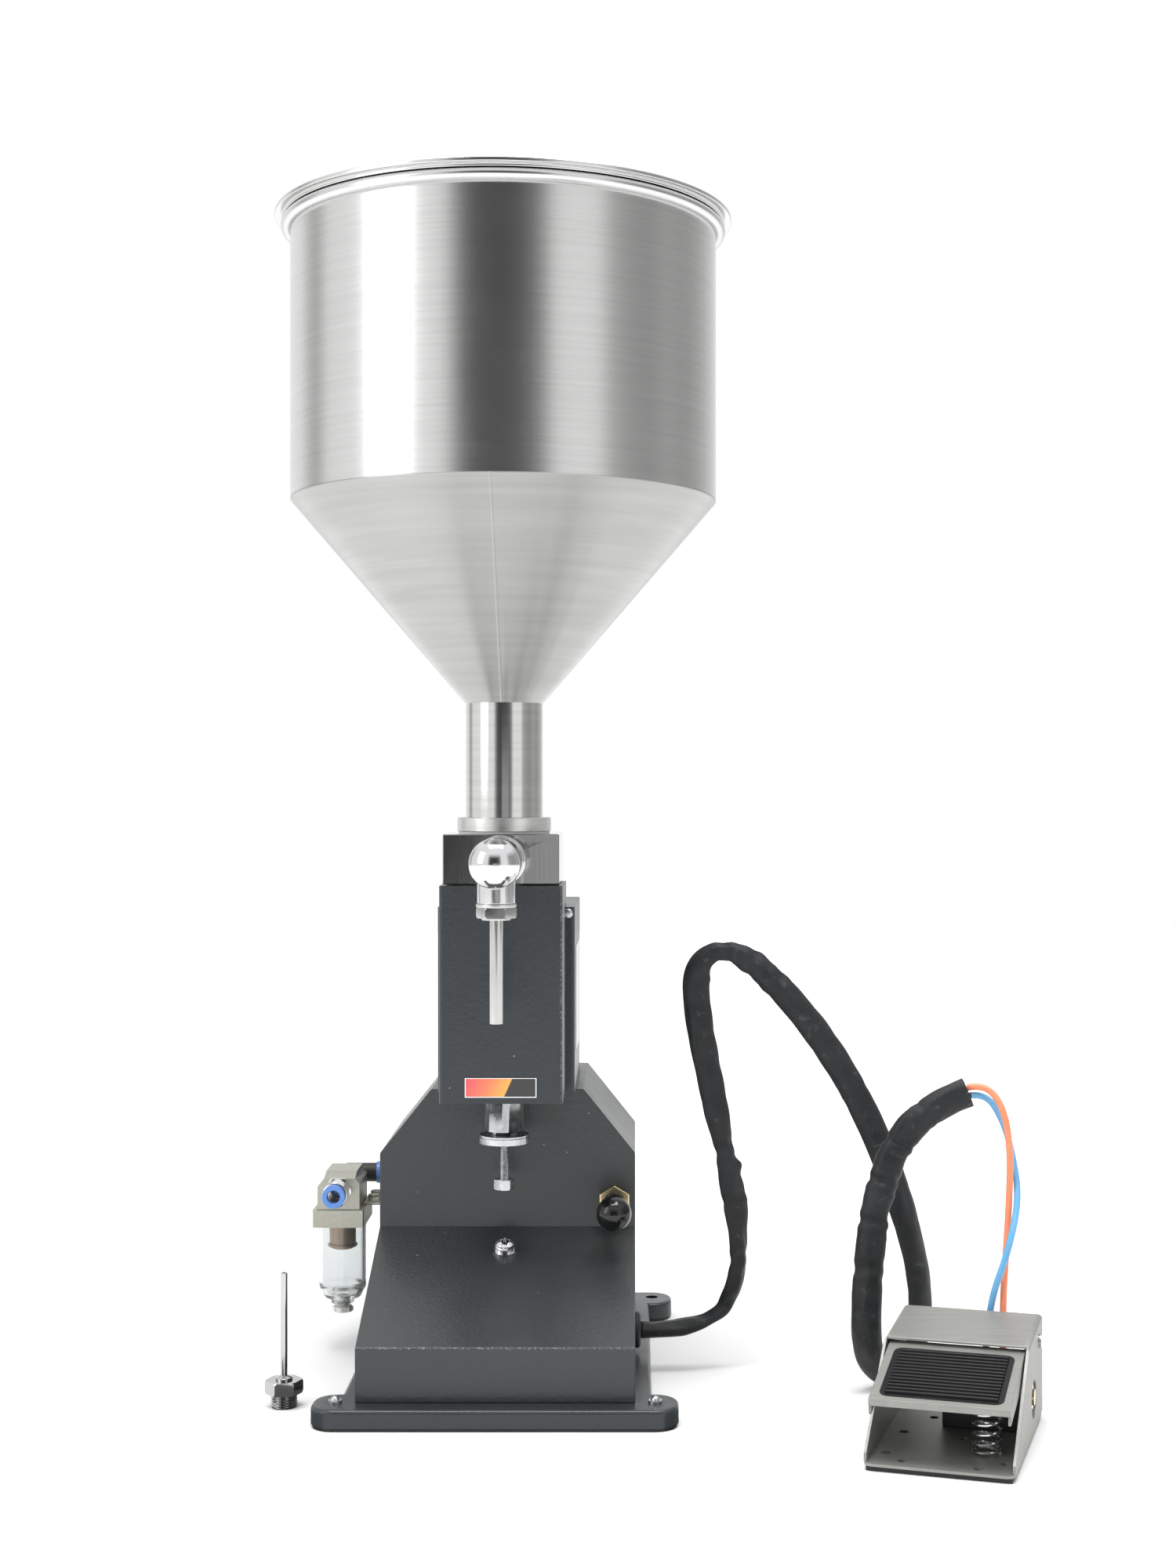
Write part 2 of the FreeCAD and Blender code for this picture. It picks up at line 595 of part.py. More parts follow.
def lock_nut():
    body = ring(15.35, SCREW_R + RUNNING, (0, AXIS_Y, 147), 5.7)
    rims = [edge for edge in body.Edges if edge.Length > 90 and len(edge.Vertexes) == 1]
    return body.makeChamfer(0.7, rims)


# Air controls and filter

def hand_valve_body():
    block = box(KNOB_X - 10, KNOB_X + 10, PANEL_Y + SHEET, 30, KNOB_Z - 10, KNOB_Z + 10)
    neck = rod(7.0, (KNOB_X, PANEL_Y + SHEET, KNOB_Z), 13.1, FRONT)
    ports = rod(4.5, (KNOB_X - 18, 4, KNOB_Z), 9, RIGHT).fuse(rod(4.5, (KNOB_X - 18, 20, KNOB_Z), 9, RIGHT))
    return block.fuse([neck, ports]).cut(rod(3.1, (KNOB_X, -22, KNOB_Z), 20, REAR))


def hand_valve_nut():
    nut = hexagon(18.8, (KNOB_X, PANEL_Y, KNOB_Z), 5.5, FRONT, RIGHT)
    return nut.cut(rod(7.05, (KNOB_X, PANEL_Y + 1, KNOB_Z), 8, FRONT))


def hand_valve_knob():
    ball = Part.makeSphere(KNOB_R, V(KNOB_X, KNOB_Y, KNOB_Z))
    ferrule = rod(5.6, (KNOB_X, KNOB_Y + 8, KNOB_Z), 7, REAR)
    return ball.fuse([ferrule, rod(3.02, (KNOB_X, KNOB_Y, KNOB_Z), 37.5, REAR)])


def main_air_valve():
    """Pilot-worked slide valve on the base plate, with a pilot head at each end."""
    body = box(-25, 25, 55, 79, PLATE_TOP, 48)
    heads = [box(-36, -25, 58, 76, 18, 42), box(25, 36, 58, 76, 18, 42)]
    fittings = [rod(5, (x, 67, 48), 9) for x in (-14, 0, 14)]
    return body.fuse(heads + fittings)


def filter_head():
    flange = box(FILTER_X - 16.5, FILTER_X + 16.5, FILTER_Y - 23, FILTER_Y + 23, FLANGE_BOTTOM, FLANGE_TOP)
    flange = flange.makeFillet(1.0, upright_edges(flange))
    left, right, front = FILTER_X - 13.5, FILTER_X + 13.5, FILTER_Y - 21
    top = 115.0
    head = prism([(left, front, FLANGE_TOP), (left, front, top - 5), (left + 4, front, top), (right - 3, front, top),
                  (right, front, top - 3), (right, front, FLANGE_TOP)], REAR * 40)
    crown = prism([(left + 4, front + 2, top), (left + 4, front + 12, top + 3), (left + 4, front + 40, top + 3),
                   (left + 4, front + 40, top)], RIGHT * 20)
    body = flange.fuse([head, crown])
    body = body.cut(rod(BOWL_R - 2.2, (FILTER_X, FILTER_Y, FLANGE_BOTTOM - 1), 5))
    return body.cut(rod(5.0, (FILTER_X, front - 1, PORT_Z), 12, REAR))


def filter_bowl():
    """A clear bowl, tapered at the bottom, with a boss for the drain."""
    top = FLANGE_BOTTOM - 0.3
    return turned([(BOWL_R - 2, top), (BOWL_R, top), (BOWL_R, 42), (11.5, 35), (7.5, 33.5), (7.5, 31),
                   (3.6, 31), (3.6, 36.5), (9.8, 37.5), (BOWL_R - 2, 44)], FILTER_X, FILTER_Y)


def filter_element():
    return ring(8.5, 5.5, (FILTER_X, FILTER_Y, 70), 15)


def filter_drain():
    stem = rod(3.4, (FILTER_X, FILTER_Y, 29), 7)
    return stem.fuse(rod(6.4, (FILTER_X, FILTER_Y, 25.4), 3.4).fuse(rod(5.2, (FILTER_X, FILTER_Y, 28.6), 0.6)))


def filter_bracket():
    wall = box(-BOX_HALF - 1.6, -BOX_HALF, 30, 57, 84, 114)
    shelf = box(FILTER_X + 13.8, -BOX_HALF, 30, 57, FLANGE_TOP, FLANGE_TOP + 2)
    bolts = [hexagon(7, (-89.5, y, FLANGE_TOP + 2), 4) for y in (37, 50)]
    return wall.fuse([shelf] + bolts)


def inlet_fitting():
    face = FILTER_Y - 21
    body = hexagon(16, (FILTER_X, face, PORT_Z), 3.5, FRONT).fuse(rod(8, (FILTER_X, face - 3, PORT_Z), 15, FRONT))
    body = body.fuse(rod(4.95, (FILTER_X, face + 8, PORT_Z), 9, FRONT))
    body = body.cut(rod(HOSE_BORE, (FILTER_X, face - 19, PORT_Z), 28, REAR))
    return body.cut(rod(5.6, (FILTER_X, face - 19, PORT_Z), 8, REAR))


def inlet_ring():
    flange = rod(7.3, (FILTER_X, FILTER_Y - 44, PORT_Z), 3.4, REAR)
    sleeve = rod(5.5, (FILTER_X, FILTER_Y - 44, PORT_Z), 9, REAR)
    return flange.fuse(sleeve).cut(rod(HOSE_BORE, (FILTER_X, FILTER_Y - 45, PORT_Z), 12, REAR))


def outlet_fitting():
    """Push-in elbow from the filter to the side of the base, with its short air tube."""
    rear = FILTER_Y + 19
    z = 110.0
    body = hexagon(13, (FILTER_X, rear, z), 6, REAR).fuse(rod(5.5, (FILTER_X, rear, z), 12, REAR))
    body = body.fuse([Part.makeSphere(6.2, V(FILTER_X, 66, z)), rod(6.2, (FILTER_X, 66, z), 18.5, RIGHT)])
    return body.fuse([rod(7.0, (-91, 66, z), 4, RIGHT), rod(4.0, (-88, 66, z), 10, RIGHT)])


def hose_gland():
    flange = rod(11, (BOX_HALF, HOSE_EXIT[1], HOSE_EXIT[2]), HOSE_EXIT[0] - BOX_HALF, RIGHT)
    return flange.fuse(rod(9, (BOX_HALF - 3, HOSE_EXIT[1], HOSE_EXIT[2]), 4, RIGHT))


# Foot pedal

def pedal_base():
    plate = box(-PEDAL_HALF, PEDAL_HALF, 0, PEDAL_DEPTH, PEDAL_MAT, PEDAL_FLOOR)
    plate = plate.makeFillet(5, upright_edges(plate))
    spots = ((-21, 10), (20, 8), (-29, 62), (5, 59), (-17, 94), (-32, 22), (33, 20))
    for x, y in spots:
        plate = plate.cut(rod(2.6, (x, y, 0), 10))
    return in_pedal(plate)


def pedal_cover():
    """Two cheeks and a top bent from one sheet, open to the front."""
    side = [(3, PEDAL_FLOOR), (3, 9), (LIP_V - 4, LIP_Z - 2), (LIP_V, LIP_Z), (PEDAL_DEPTH - 2, BACK_Z),
            (PEDAL_DEPTH, BACK_Z - 2), (PEDAL_DEPTH, PEDAL_FLOOR)]
    outer = prism([(-PEDAL_HALF, y, z) for y, z in side], RIGHT * (2 * PEDAL_HALF))
    top = [edge for edge in outer.Edges if abs(abs(edge.CenterOfMass.x) - PEDAL_HALF) < 1e-6
           and edge.CenterOfMass.z > LIP_Z and edge.Length > 30]
    outer = outer.makeFillet(3, top)
    inner = [(-1, -1), (-1, 100), (LIP_V - 1, 100), (LIP_V - 1, LIP_Z - SHEET),
             (PEDAL_DEPTH + 1, BACK_Z - SHEET), (PEDAL_DEPTH + 1, -1)]
    hollow = prism([(-PEDAL_HALF + SHEET, y, z) for y, z in inner], RIGHT * (2 * (PEDAL_HALF - SHEET)))
    shell = outer.cut(hollow)
    shell = shell.cut(rod(10.8, (PEDAL_HALF - 5, 86, 21.5), 10, RIGHT))
    return in_pedal(shell.cut(rod(2.5, (-PEDAL_HALF - 1, PIVOT_V, PIVOT_Z), 90, RIGHT)))


def tread_height(v):
    """Height of the tread's top face, which climbs from the toe to the cover."""
    return TREAD_Z + (v - TREAD_V) * 0.235


def pedal_tread():
    """A folded plate with two arms that reach back to the pivot pin, and a bar that works the valve."""
    rear = LIP_V + 3
    plate = prism([(-TREAD_HALF, TREAD_V, tread_height(TREAD_V)), (-TREAD_HALF, rear, tread_height(rear)),
                   (-TREAD_HALF, rear, tread_height(rear) - SHEET),
                   (-TREAD_HALF, TREAD_V, tread_height(TREAD_V) - SHEET)], RIGHT * (2 * TREAD_HALF))
    toe = box(-TREAD_HALF, TREAD_HALF, TREAD_V - 1.5, TREAD_V, tread_height(TREAD_V) - 4, tread_height(TREAD_V))
    arm = prism([(-TREAD_HALF, TREAD_V, tread_height(TREAD_V) - 1), (-TREAD_HALF, rear, tread_height(rear) - 1),
                 (-TREAD_HALF, PIVOT_V + 5, PIVOT_Z + 5), (-TREAD_HALF, PIVOT_V + 5, PIVOT_Z - 5),
                 (-TREAD_HALF, rear, tread_height(rear) - 12), (-TREAD_HALF, TREAD_V, tread_height(TREAD_V) - 9)],
                RIGHT * SHEET)
    other = arm.copy()
    other.translate(RIGHT * (2 * TREAD_HALF - SHEET))
    bar = box(-TREAD_HALF + 1, TREAD_HALF - 1, 82, 92, 45.5, 47.5)
    body = plate.fuse([toe, arm, other, bar])
    return in_pedal(body.cut(rod(2.5, (-PEDAL_HALF - 1, PIVOT_V, PIVOT_Z), 90, RIGHT)))


def tread_pad():
    front, rear = TREAD_V + 4, LIP_V - 5
    pad = prism([(-31, front, tread_height(front)), (-31, rear, tread_height(rear)),
                 (-31, rear, tread_height(rear) + 1.6), (-31, front, tread_height(front) + 1.6)], RIGHT * 62)
    for row in range(13):
        v = front + 2.4 + row * 4.0
        z = tread_height(v) + 1.0
        pad = pad.cut(prism([(-32, v, z), (-32, v + 1.4, z + 0.33), (-32, v + 1.4, z + 3), (-32, v, z + 3)],
                            RIGHT * 64))
    return in_pedal(pad)


def pedal_spring():
    length = tread_height(35) - SHEET - PEDAL_FLOOR - 2.3
    return in_pedal(spring(7.1, 0.65, (21, 35, PEDAL_FLOOR + 0.1), length, 7))


def foot_valve():
    body = box(-10, 34, 78, 108, PEDAL_FLOOR, 38)
    silencer_boss = rod(5.5, (34, 91, 21.5), 1.5, RIGHT)
    guide = ring(5, 3 + RUNNING, (12, 87, 38), 2)
    body = body.fuse([silencer_boss, guide])
    return in_pedal(body.cut(rod(3 + RUNNING, (12, 87, 30), 12)))


def valve_plunger():
    return in_pedal(rod(3, (12, 87, 36), 9.2))


def pivot_pin():
    pin = rod(2.4, (-PEDAL_HALF - 1.2, PIVOT_V, PIVOT_Z), 2 * PEDAL_HALF + 2.4, RIGHT)
    heads = [rod(4, (x, PIVOT_V, PIVOT_Z), 1.4, RIGHT) for x in (-PEDAL_HALF - 1.5, PEDAL_HALF + 0.1)]
    return in_pedal(pin.fuse(heads))


def pedal_fittings():
    """Brass silencer on the valve's right side, and the two push-in elbows at its rear."""
    silencer = hexagon(11, (35.5, 91, 21.5), 2, RIGHT, UP).fuse(rod(4.6, (37, 91, 21.5), 3.4, RIGHT))
    pieces = [silencer]
    for x in (7, 17):
        stub = rod(4.2, (x, 108, 22), 26, REAR)
        upright = rod(4.4, (x, 134, 18), 14)
        collar = rod(4.0, (x, 134, 32), 4)
        pieces.append(stub.fuse([upright, collar]))
    return Part.makeCompound([in_pedal(piece) for piece in pieces])


os.makedirs("parts", exist_ok=True)

PIECES = [
    floor_mats, base_plate, base_box, rear_covers, column_box, front_casing, fasteners, tray_screw, name_plates,
    valve_block, product_gaskets, hopper_neck, hopper_cone, hopper_shell, hopper_lid, lid_knob, discharge_elbow,
    outlet_cap, filling_nozzle, spare_nozzle, poppet_guides, inlet_poppet, outlet_poppet, fill_cylinder,
    fill_piston, piston_seals, piston_rod, cylinder_tube, cylinder_head, cylinder_foot, stroke_stop,
    stroke_screw, lock_nut, hand_valve_body, hand_valve_nut, hand_valve_knob, main_air_valve, filter_head,
    filter_bowl, filter_element, filter_drain, filter_bracket, inlet_fitting, inlet_ring, outlet_fitting,
    hose_gland, pedal_base, pedal_cover, pedal_tread, tread_pad, pedal_spring, foot_valve, valve_plunger,
    pivot_pin, pedal_fittings]
for piece in PIECES:
    save(piece.__name__, piece())

save("inlet_spring", spring(8.0, 0.7, (0, AXIS_Y, 313.05), 8.9, 4))
save("outlet_spring", spring(6.0, 0.6, (0, -79.05, DISCHARGE_Z), 18.9, 6, FRONT))
save("hose_sleeve", tube("hose_sleeve", SLEEVE_ROUTE, SLEEVE_R))
save("tube_orange", tube("tube_orange", ORANGE_ROUTE, TUBE_R))
save("tube_blue", tube("tube_blue", BLUE_ROUTE, TUBE_R))
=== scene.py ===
# %% [markdown]
# # A bench piston filler
#
# A hopper of brushed steel stands on a valve block, over a painted cabinet. A foot pedal on a pair of air
# tubes starts each stroke. The frame below is the measured model: every size and place comes from it, in
# metres, with +Z up and the person who works the machine on the -Y side.

# %% Load the measured frame
from math import atan2, cos, pi, radians, sin, sqrt

import bmesh
import bpy
from mathutils import Matrix, Vector, noise


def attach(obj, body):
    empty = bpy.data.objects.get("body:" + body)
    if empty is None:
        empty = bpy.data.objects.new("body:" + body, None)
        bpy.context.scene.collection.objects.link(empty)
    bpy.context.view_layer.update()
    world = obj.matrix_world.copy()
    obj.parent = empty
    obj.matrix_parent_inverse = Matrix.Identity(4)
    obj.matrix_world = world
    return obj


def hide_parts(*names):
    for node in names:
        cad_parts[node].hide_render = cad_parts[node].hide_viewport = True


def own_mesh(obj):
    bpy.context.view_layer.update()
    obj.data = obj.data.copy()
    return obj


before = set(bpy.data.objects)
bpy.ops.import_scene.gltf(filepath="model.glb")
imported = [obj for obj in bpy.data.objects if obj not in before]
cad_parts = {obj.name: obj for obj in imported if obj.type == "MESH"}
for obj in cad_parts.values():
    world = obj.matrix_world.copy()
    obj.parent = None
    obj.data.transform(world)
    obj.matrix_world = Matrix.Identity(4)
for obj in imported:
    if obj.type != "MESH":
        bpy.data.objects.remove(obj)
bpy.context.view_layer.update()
scene = bpy.context.scene
MM = 0.001


def put(name, data):
    """A new object in the scene, at the origin."""
    thing = bpy.data.objects.new(name, data)
    scene.collection.objects.link(thing)
    return thing


# %% [markdown]
# ## Camera
# A level camera with a long lens, so that uprights stay upright. A small sideways shift frames the pedal
# without turning the camera.

# %% Camera
camera_data = bpy.data.cameras.new("studio_camera")
camera_data.lens = 49.5
camera_data.sensor_width = 36
camera_data.shift_x = -0.03
camera = put("studio_camera", camera_data)
camera.location = (0.0804, -1.366, 0.3677)
camera.rotation_euler = (radians(90), 0, 0)
scene.camera = camera
scene.view_settings.view_transform = "Standard"
print("camera at", tuple(camera.location))

# %% [markdown]
# ## Helpers for finishes
# A node needs three things: its kind, its settings and its links. With these helpers each material below
# takes a few readable lines, because an input is given either a value or another node's output.

# %% Node helpers
def add_node(tree, kind, sockets=None, **settings):
    """Add one shader node, with its options, and a value or a link for each input that is named."""
    node = tree.nodes.new("ShaderNode" + kind)
    for option, value in settings.items():
        setattr(node, option, value)
    for socket, value in (sockets or {}).items():
        if isinstance(value, bpy.types.NodeSocket):
            tree.links.new(value, node.inputs[socket])
        else:
            node.inputs[socket].default_value = value
    return node


def maths(tree, operation, *values):
    """The result of a Math node."""
    return add_node(tree, "Math", dict(enumerate(values)), operation=operation).outputs[0]


def spread(tree, value, start, end, low=0.0, high=1.0):
    """A value that goes from low to high as the one given goes from start to end."""
    span = {"Value": value, "From Min": start, "From Max": end, "To Min": low, "To Max": high}
    return add_node(tree, "MapRange", span).outputs["Result"]


def new_group(name, results, **inputs):
    """A shader node group that takes a vector and named values, and gives named floats."""
    group = bpy.data.node_groups.new(name, "ShaderNodeTree")
    for label, value in {"Vector": None, **inputs}.items():
        kind = "NodeSocketFloat" if isinstance(value, float) else "NodeSocketVector"
        socket = group.interface.new_socket(label.replace("_", " "), in_out="INPUT", socket_type=kind)
        if value is not None:
            socket.default_value = value
    for label in results:
        group.interface.new_socket(label, in_out="OUTPUT", socket_type="NodeSocketFloat")
    return group, group.nodes.new("NodeGroupInput").outputs, group.nodes.new("NodeGroupOutput").inputs


# %% [markdown]
# ## Shared surface effects
# Four effects turn up on more than one finish, so each is a node group with named inputs:
# - **orange peel**, the small lumps that powder coat flows into;
# - **fine lines**, what a belt or a lathe leaves on steel. The vector that goes in is squeezed, so the same
#   noise becomes lines along one direction;
# - **handling**, the broad cloudy marks that wiping and fingers leave, which change only the gloss;
# - **specks**, dust and tiny nicks.

# %% Effect groups
peel_group, given, result = new_group("orange_peel", ["Height"], Lumps_per_metre=520.0)
lumps = add_node(peel_group, "TexNoise", {"Vector": given["Vector"], "Scale": given["Lumps per metre"],
                                          "Detail": 1.5, "Roughness": 0.45})
peel_group.links.new(lumps.outputs["Fac"], result["Height"])

line_group, given, result = new_group("fine_lines", ["Lines", "Streaks"], Across=(30.0, 30.0, 3000.0))
squeezed = add_node(line_group, "VectorMath", {0: given["Vector"], 1: given["Across"]}, operation="MULTIPLY").outputs[0]
fine = add_node(line_group, "TexNoise", {"Vector": squeezed, "Scale": 1.0, "Detail": 3.0, "Roughness": 0.7})
widened = add_node(line_group, "VectorMath", {0: squeezed, 1: (0.5, 0.5, 0.12)}, operation="MULTIPLY").outputs[0]
broad = add_node(line_group, "TexNoise", {"Vector": widened, "Scale": 1.0, "Detail": 2.0, "Roughness": 0.6})
line_group.links.new(fine.outputs["Fac"], result["Lines"])
line_group.links.new(broad.outputs["Fac"], result["Streaks"])

mark_group, given, result = new_group("handling", ["Marks"], Size=14.0)
cloud = add_node(mark_group, "TexNoise", {"Vector": given["Vector"], "Scale": given["Size"], "Detail": 4.0,
                                          "Roughness": 0.62, "Distortion": 0.4})
mark_group.links.new(cloud.outputs["Fac"], result["Marks"])

speck_group, given, result = new_group("specks", ["Mask"], Per_metre=90.0, Share=0.06)
cells = add_node(speck_group, "TexVoronoi", {"Vector": given["Vector"], "Scale": given["Per metre"]})
speck_group.links.new(maths(speck_group, "LESS_THAN", cells.outputs["Distance"], given["Share"]), result["Mask"])
print("effect groups:", [group.name for group in bpy.data.node_groups])


# %% [markdown]
# ## One way to make a finish
# Every finish is a Principled shader whose colour drifts a little, whose gloss is broken up by handling
# marks, and whose surface has a fine relief. Numbers that are the same all over go on its sockets.

# %% Finish helper
SHARED_SLOTS = {
    "cone_steel": "stainless_brushed", "collar_steel": "stainless_polished", "tube_steel": "stainless_polished",
    "block_steel": "stainless_polished", "shaded_boss_zinc": "zinc_plate", "casing_paint": "grey_paint",
    "pad_rubber": "black_rubber", "badge_enamel": "plate_print"}
NOISE_SPAN = (0.3, 0.7)  # where nearly all of a noise's values lie


def slot_of(material):
    """The record's material slot for a finish."""
    name = material.name.removesuffix("_finish")
    return SHARED_SLOTS.get(name, name)


class Finish:
    """A node material in progress: its tree, its shader and its Object coordinates."""

    def __init__(self, name, **constants):
        self.material = bpy.data.materials.new(name + "_finish")
        self.material.use_nodes = True
        self.tree = self.material.node_tree
        self.shader = self.tree.nodes["Principled BSDF"]
        for socket, value in constants.items():
            self.shader.inputs[socket.replace("_", " ")].default_value = value
        self.place = self.node("TexCoord").outputs["Object"]

    def node(self, kind, sockets=None, **settings):
        return add_node(self.tree, kind, sockets, **settings)

    def maths(self, operation, *values):
        return maths(self.tree, operation, *values)

    def spread(self, *values):
        return spread(self.tree, *values)

    def feed(self, output, socket):
        """Link an output to one of the shader's inputs."""
        self.tree.links.new(output, self.shader.inputs[socket])

    def group(self, group, **values):
        """The outputs of a shared effect."""
        sockets = {label.replace("_", " "): value for label, value in values.items()}
        return self.node("Group", {"Vector": self.place, **sockets}, node_tree=group).outputs

    def marks(self, size):
        return self.group(mark_group, Size=size)["Marks"]

    def axes(self):
        return self.node("SeparateXYZ", {0: self.place}).outputs

    def mixed(self, share, under, over):
        """A colour laid over another one, by a share from 0 to 1."""
        return self.node("Mix", {"Factor": share, "A": under, "B": (*over, 1)}, data_type="RGBA").outputs["Result"]

    def colour(self, factor, low, high):
        """Base colour from low to high as a noise rises."""
        ramp = self.node("ValToRGB", {"Fac": factor})
        for stop, position, colour in zip(ramp.color_ramp.elements, NOISE_SPAN, (low, high)):
            stop.position, stop.color = position, (*colour, 1)
        self.feed(ramp.outputs["Color"], "Base Color")
        return ramp.outputs["Color"]

    def gloss(self, factor, low, high):
        self.feed(self.spread(factor, *NOISE_SPAN, low, high), "Roughness")

    def relief(self, height, depth, strength=1.0):
        self.bump = self.node("Bump", {"Height": height, "Distance": depth, "Strength": strength})
        self.feed(self.bump.outputs["Normal"], "Normal")


def painted(name, low, high, lumps_per_metre, depth, edge_highlight_at=None):
    """Gloss enamel over steel: orange peel, wiped marks, a little dust, and a painted highlight in light grey specks
    along one edge.
    """
    finish = Finish(name, Coat_Weight=0.12, Coat_Roughness=0.16, Specular_IOR_Level=0.42)
    marks = finish.marks(11.0)
    dust = finish.group(speck_group, Per_metre=75.0, Share=0.035)["Mask"]
    skin = finish.mixed(dust, finish.colour(marks, low, high), (0.32, 0.33, 0.33))
    if edge_highlight_at:
        axis, position, front = edge_highlight_at
        place = finish.axes()
        from_edge = finish.maths("ABSOLUTE", finish.maths("SUBTRACT", place[axis], position))
        in_front = finish.maths("LESS_THAN", place["Y"], front)
        at_edge = finish.maths("MULTIPLY", finish.spread(from_edge, 0.0002, 0.0009, 1, 0), in_front)
        # painted highlight: light grey specks in the colour along that edge, on its front part
        highlight_specks = finish.spread(finish.marks(620.0), 0.50, 0.64)
        skin = finish.mixed(finish.maths("MULTIPLY", at_edge, highlight_specks), skin, (0.21, 0.225, 0.23))
    finish.feed(skin, "Base Color")
    finish.gloss(marks, 0.30, 0.42)
    finish.relief(finish.group(peel_group, Lumps_per_metre=lumps_per_metre)["Height"], depth)
    return finish.material


def metal_finish(name, low, high, smooth, dull, across=None, depth=0.00001, marks_size=12.0, **constants):
    """Bare or plated metal: lines where it was worked, if any, and gloss that varies with handling."""
    finish = Finish(name, Metallic=1.0, **constants)
    marks = finish.marks(marks_size)
    tint = wear = height = marks
    if across:
        lines = finish.group(line_group, Across=across)
        tint, height = lines["Streaks"], lines["Lines"]
        wear = finish.node("Mix", {0: 0.5, 2: marks, 3: height}).outputs[0]
    finish.colour(tint, low, high)
    finish.gloss(wear, smooth, dull)
    finish.relief(height, depth)
    return finish


def metal(*look, **settings):
    return metal_finish(*look, **settings).material


def moulded(name, low, high, smooth, dull, grain=900.0, depth=0.00002, **constants):
    """Plastic or rubber: even colour with a slight drift, a fine moulded grain."""
    finish = Finish(name, **constants)
    marks = finish.marks(30.0)
    finish.colour(marks, low, high)
    finish.gloss(marks, smooth, dull)
    finish.relief(finish.group(peel_group, Lumps_per_metre=grain)["Height"], depth)
    return finish.material


# %% [markdown]
# ## The finishes
# Steel that was turned or rolled has lines round it, so its noise is squeezed along Z. Plated parts have no
# lines. Each finish is given its darkest and lightest colour, then its glossiest and dullest roughness.

# %% Finishes
CHARCOAL = ((0.026, 0.031, 0.035), (0.033, 0.039, 0.043), 480.0, 0.00016)
paint = painted("grey_paint", *CHARCOAL)
# The casing's paint carries a painted highlight: light specks along its right upright edge.
casing_paint = painted("casing_paint", *CHARCOAL, ("X", 0.0363, -0.0742))
# The base's paint is the grey paint made lighter, as painted light for the tray that faces up, with a painted highlight
# in specks along the fold at the top of the front lip.
lit_base_paint = painted("base_paint", (0.036, 0.041, 0.043), (0.043, 0.049, 0.051), 400.0, 0.00022,
                     ("Z", 0.0437, -0.1275))
brushed = metal("stainless_brushed", (0.62, 0.62, 0.615), (0.665, 0.665, 0.66), 0.19, 0.25, (14.0, 14.0, 3600.0))
cone_finish = metal_finish("cone_steel", (0.38, 0.38, 0.37), (0.43, 0.43, 0.42), 0.28, 0.36, (16.0, 16.0, 1900.0),
                           Anisotropic=0.9, Anisotropic_Rotation=0.25)
cone_steel = cone_finish.material
polished = metal("stainless_polished", (0.63, 0.63, 0.62), (0.70, 0.70, 0.69), 0.08, 0.16, (25.0, 25.0, 2200.0),
                 0.000005)
tube_steel = metal("tube_steel", (0.47, 0.47, 0.465), (0.53, 0.53, 0.525), 0.05, 0.10, marks_size=40.0)
collar_steel = metal("collar_steel", (0.56, 0.56, 0.55), (0.64, 0.64, 0.63), 0.24, 0.34, (25.0, 25.0, 2600.0))
block_steel = metal("block_steel", (0.52, 0.53, 0.53), (0.62, 0.62, 0.62), 0.05, 0.10, (2000.0, 30.0, 30.0), 0.000006)
# The boss's zinc is a darker copy of the zinc plate: painted shade for the boss under the casing, with the galvanised
# mottle of the real part in its wide spread of tone.
shaded_boss_zinc = metal("shaded_boss_zinc", (0.34, 0.35, 0.355), (0.56, 0.575, 0.58), 0.28, 0.46, None, 0.00004, 260.0)
chrome = metal("chrome_plate", (0.66, 0.66, 0.67), (0.74, 0.74, 0.75), 0.06, 0.13, marks_size=60.0)
zinc = metal("zinc_plate", (0.46, 0.48, 0.49), (0.66, 0.68, 0.69), 0.22, 0.38, None, 0.00004, 320.0)
pedal_sheet = metal("pedal_nickel", (0.29, 0.29, 0.272), (0.335, 0.335, 0.315), 0.44, 0.54, (60.0, 600.0, 600.0),
                    0.000006)
pedal_sheet.node_tree.nodes["Principled BSDF"].inputs["Metallic"].default_value = 0.6
cast = metal("cast_alloy", (0.44, 0.44, 0.38), (0.52, 0.52, 0.455), 0.38, 0.50, None, 0.00008, 420.0)
brass = metal("brass_gold", (0.62, 0.50, 0.28), (0.74, 0.62, 0.38), 0.16, 0.28, marks_size=80.0)
bronze = metal("bronze_filter", (0.33, 0.20, 0.10), (0.52, 0.34, 0.19), 0.45, 0.6, None, 0.0001, 900.0)
alloy = metal("alloy_tube", (0.62, 0.62, 0.63), (0.7, 0.7, 0.71), 0.25, 0.34, (30.0, 30.0, 2200.0))
rubber = moulded("black_rubber", (0.012, 0.012, 0.012), (0.022, 0.022, 0.022), 0.55, 0.7, 1400.0, 0.00006)
pad_rubber = moulded("pad_rubber", (0.005, 0.005, 0.006), (0.011, 0.011, 0.012), 0.30, 0.44, 1200.0, 0.00003,
                     Specular_IOR_Level=0.2)
ptfe = moulded("white_ptfe", (0.72, 0.72, 0.69), (0.82, 0.82, 0.79), 0.4, 0.5)
gloss_black = moulded("black_gloss", (0.004, 0.004, 0.004), (0.008, 0.008, 0.008), 0.05, 0.09, 300.0, 0.000004)
valve_black = moulded("valve_black", (0.018, 0.018, 0.019), (0.03, 0.03, 0.031), 0.4, 0.5)
blue_plastic = moulded("blue_plastic", (0.10, 0.25, 0.66), (0.14, 0.31, 0.76), 0.2, 0.3, Specular_IOR_Level=0.5)
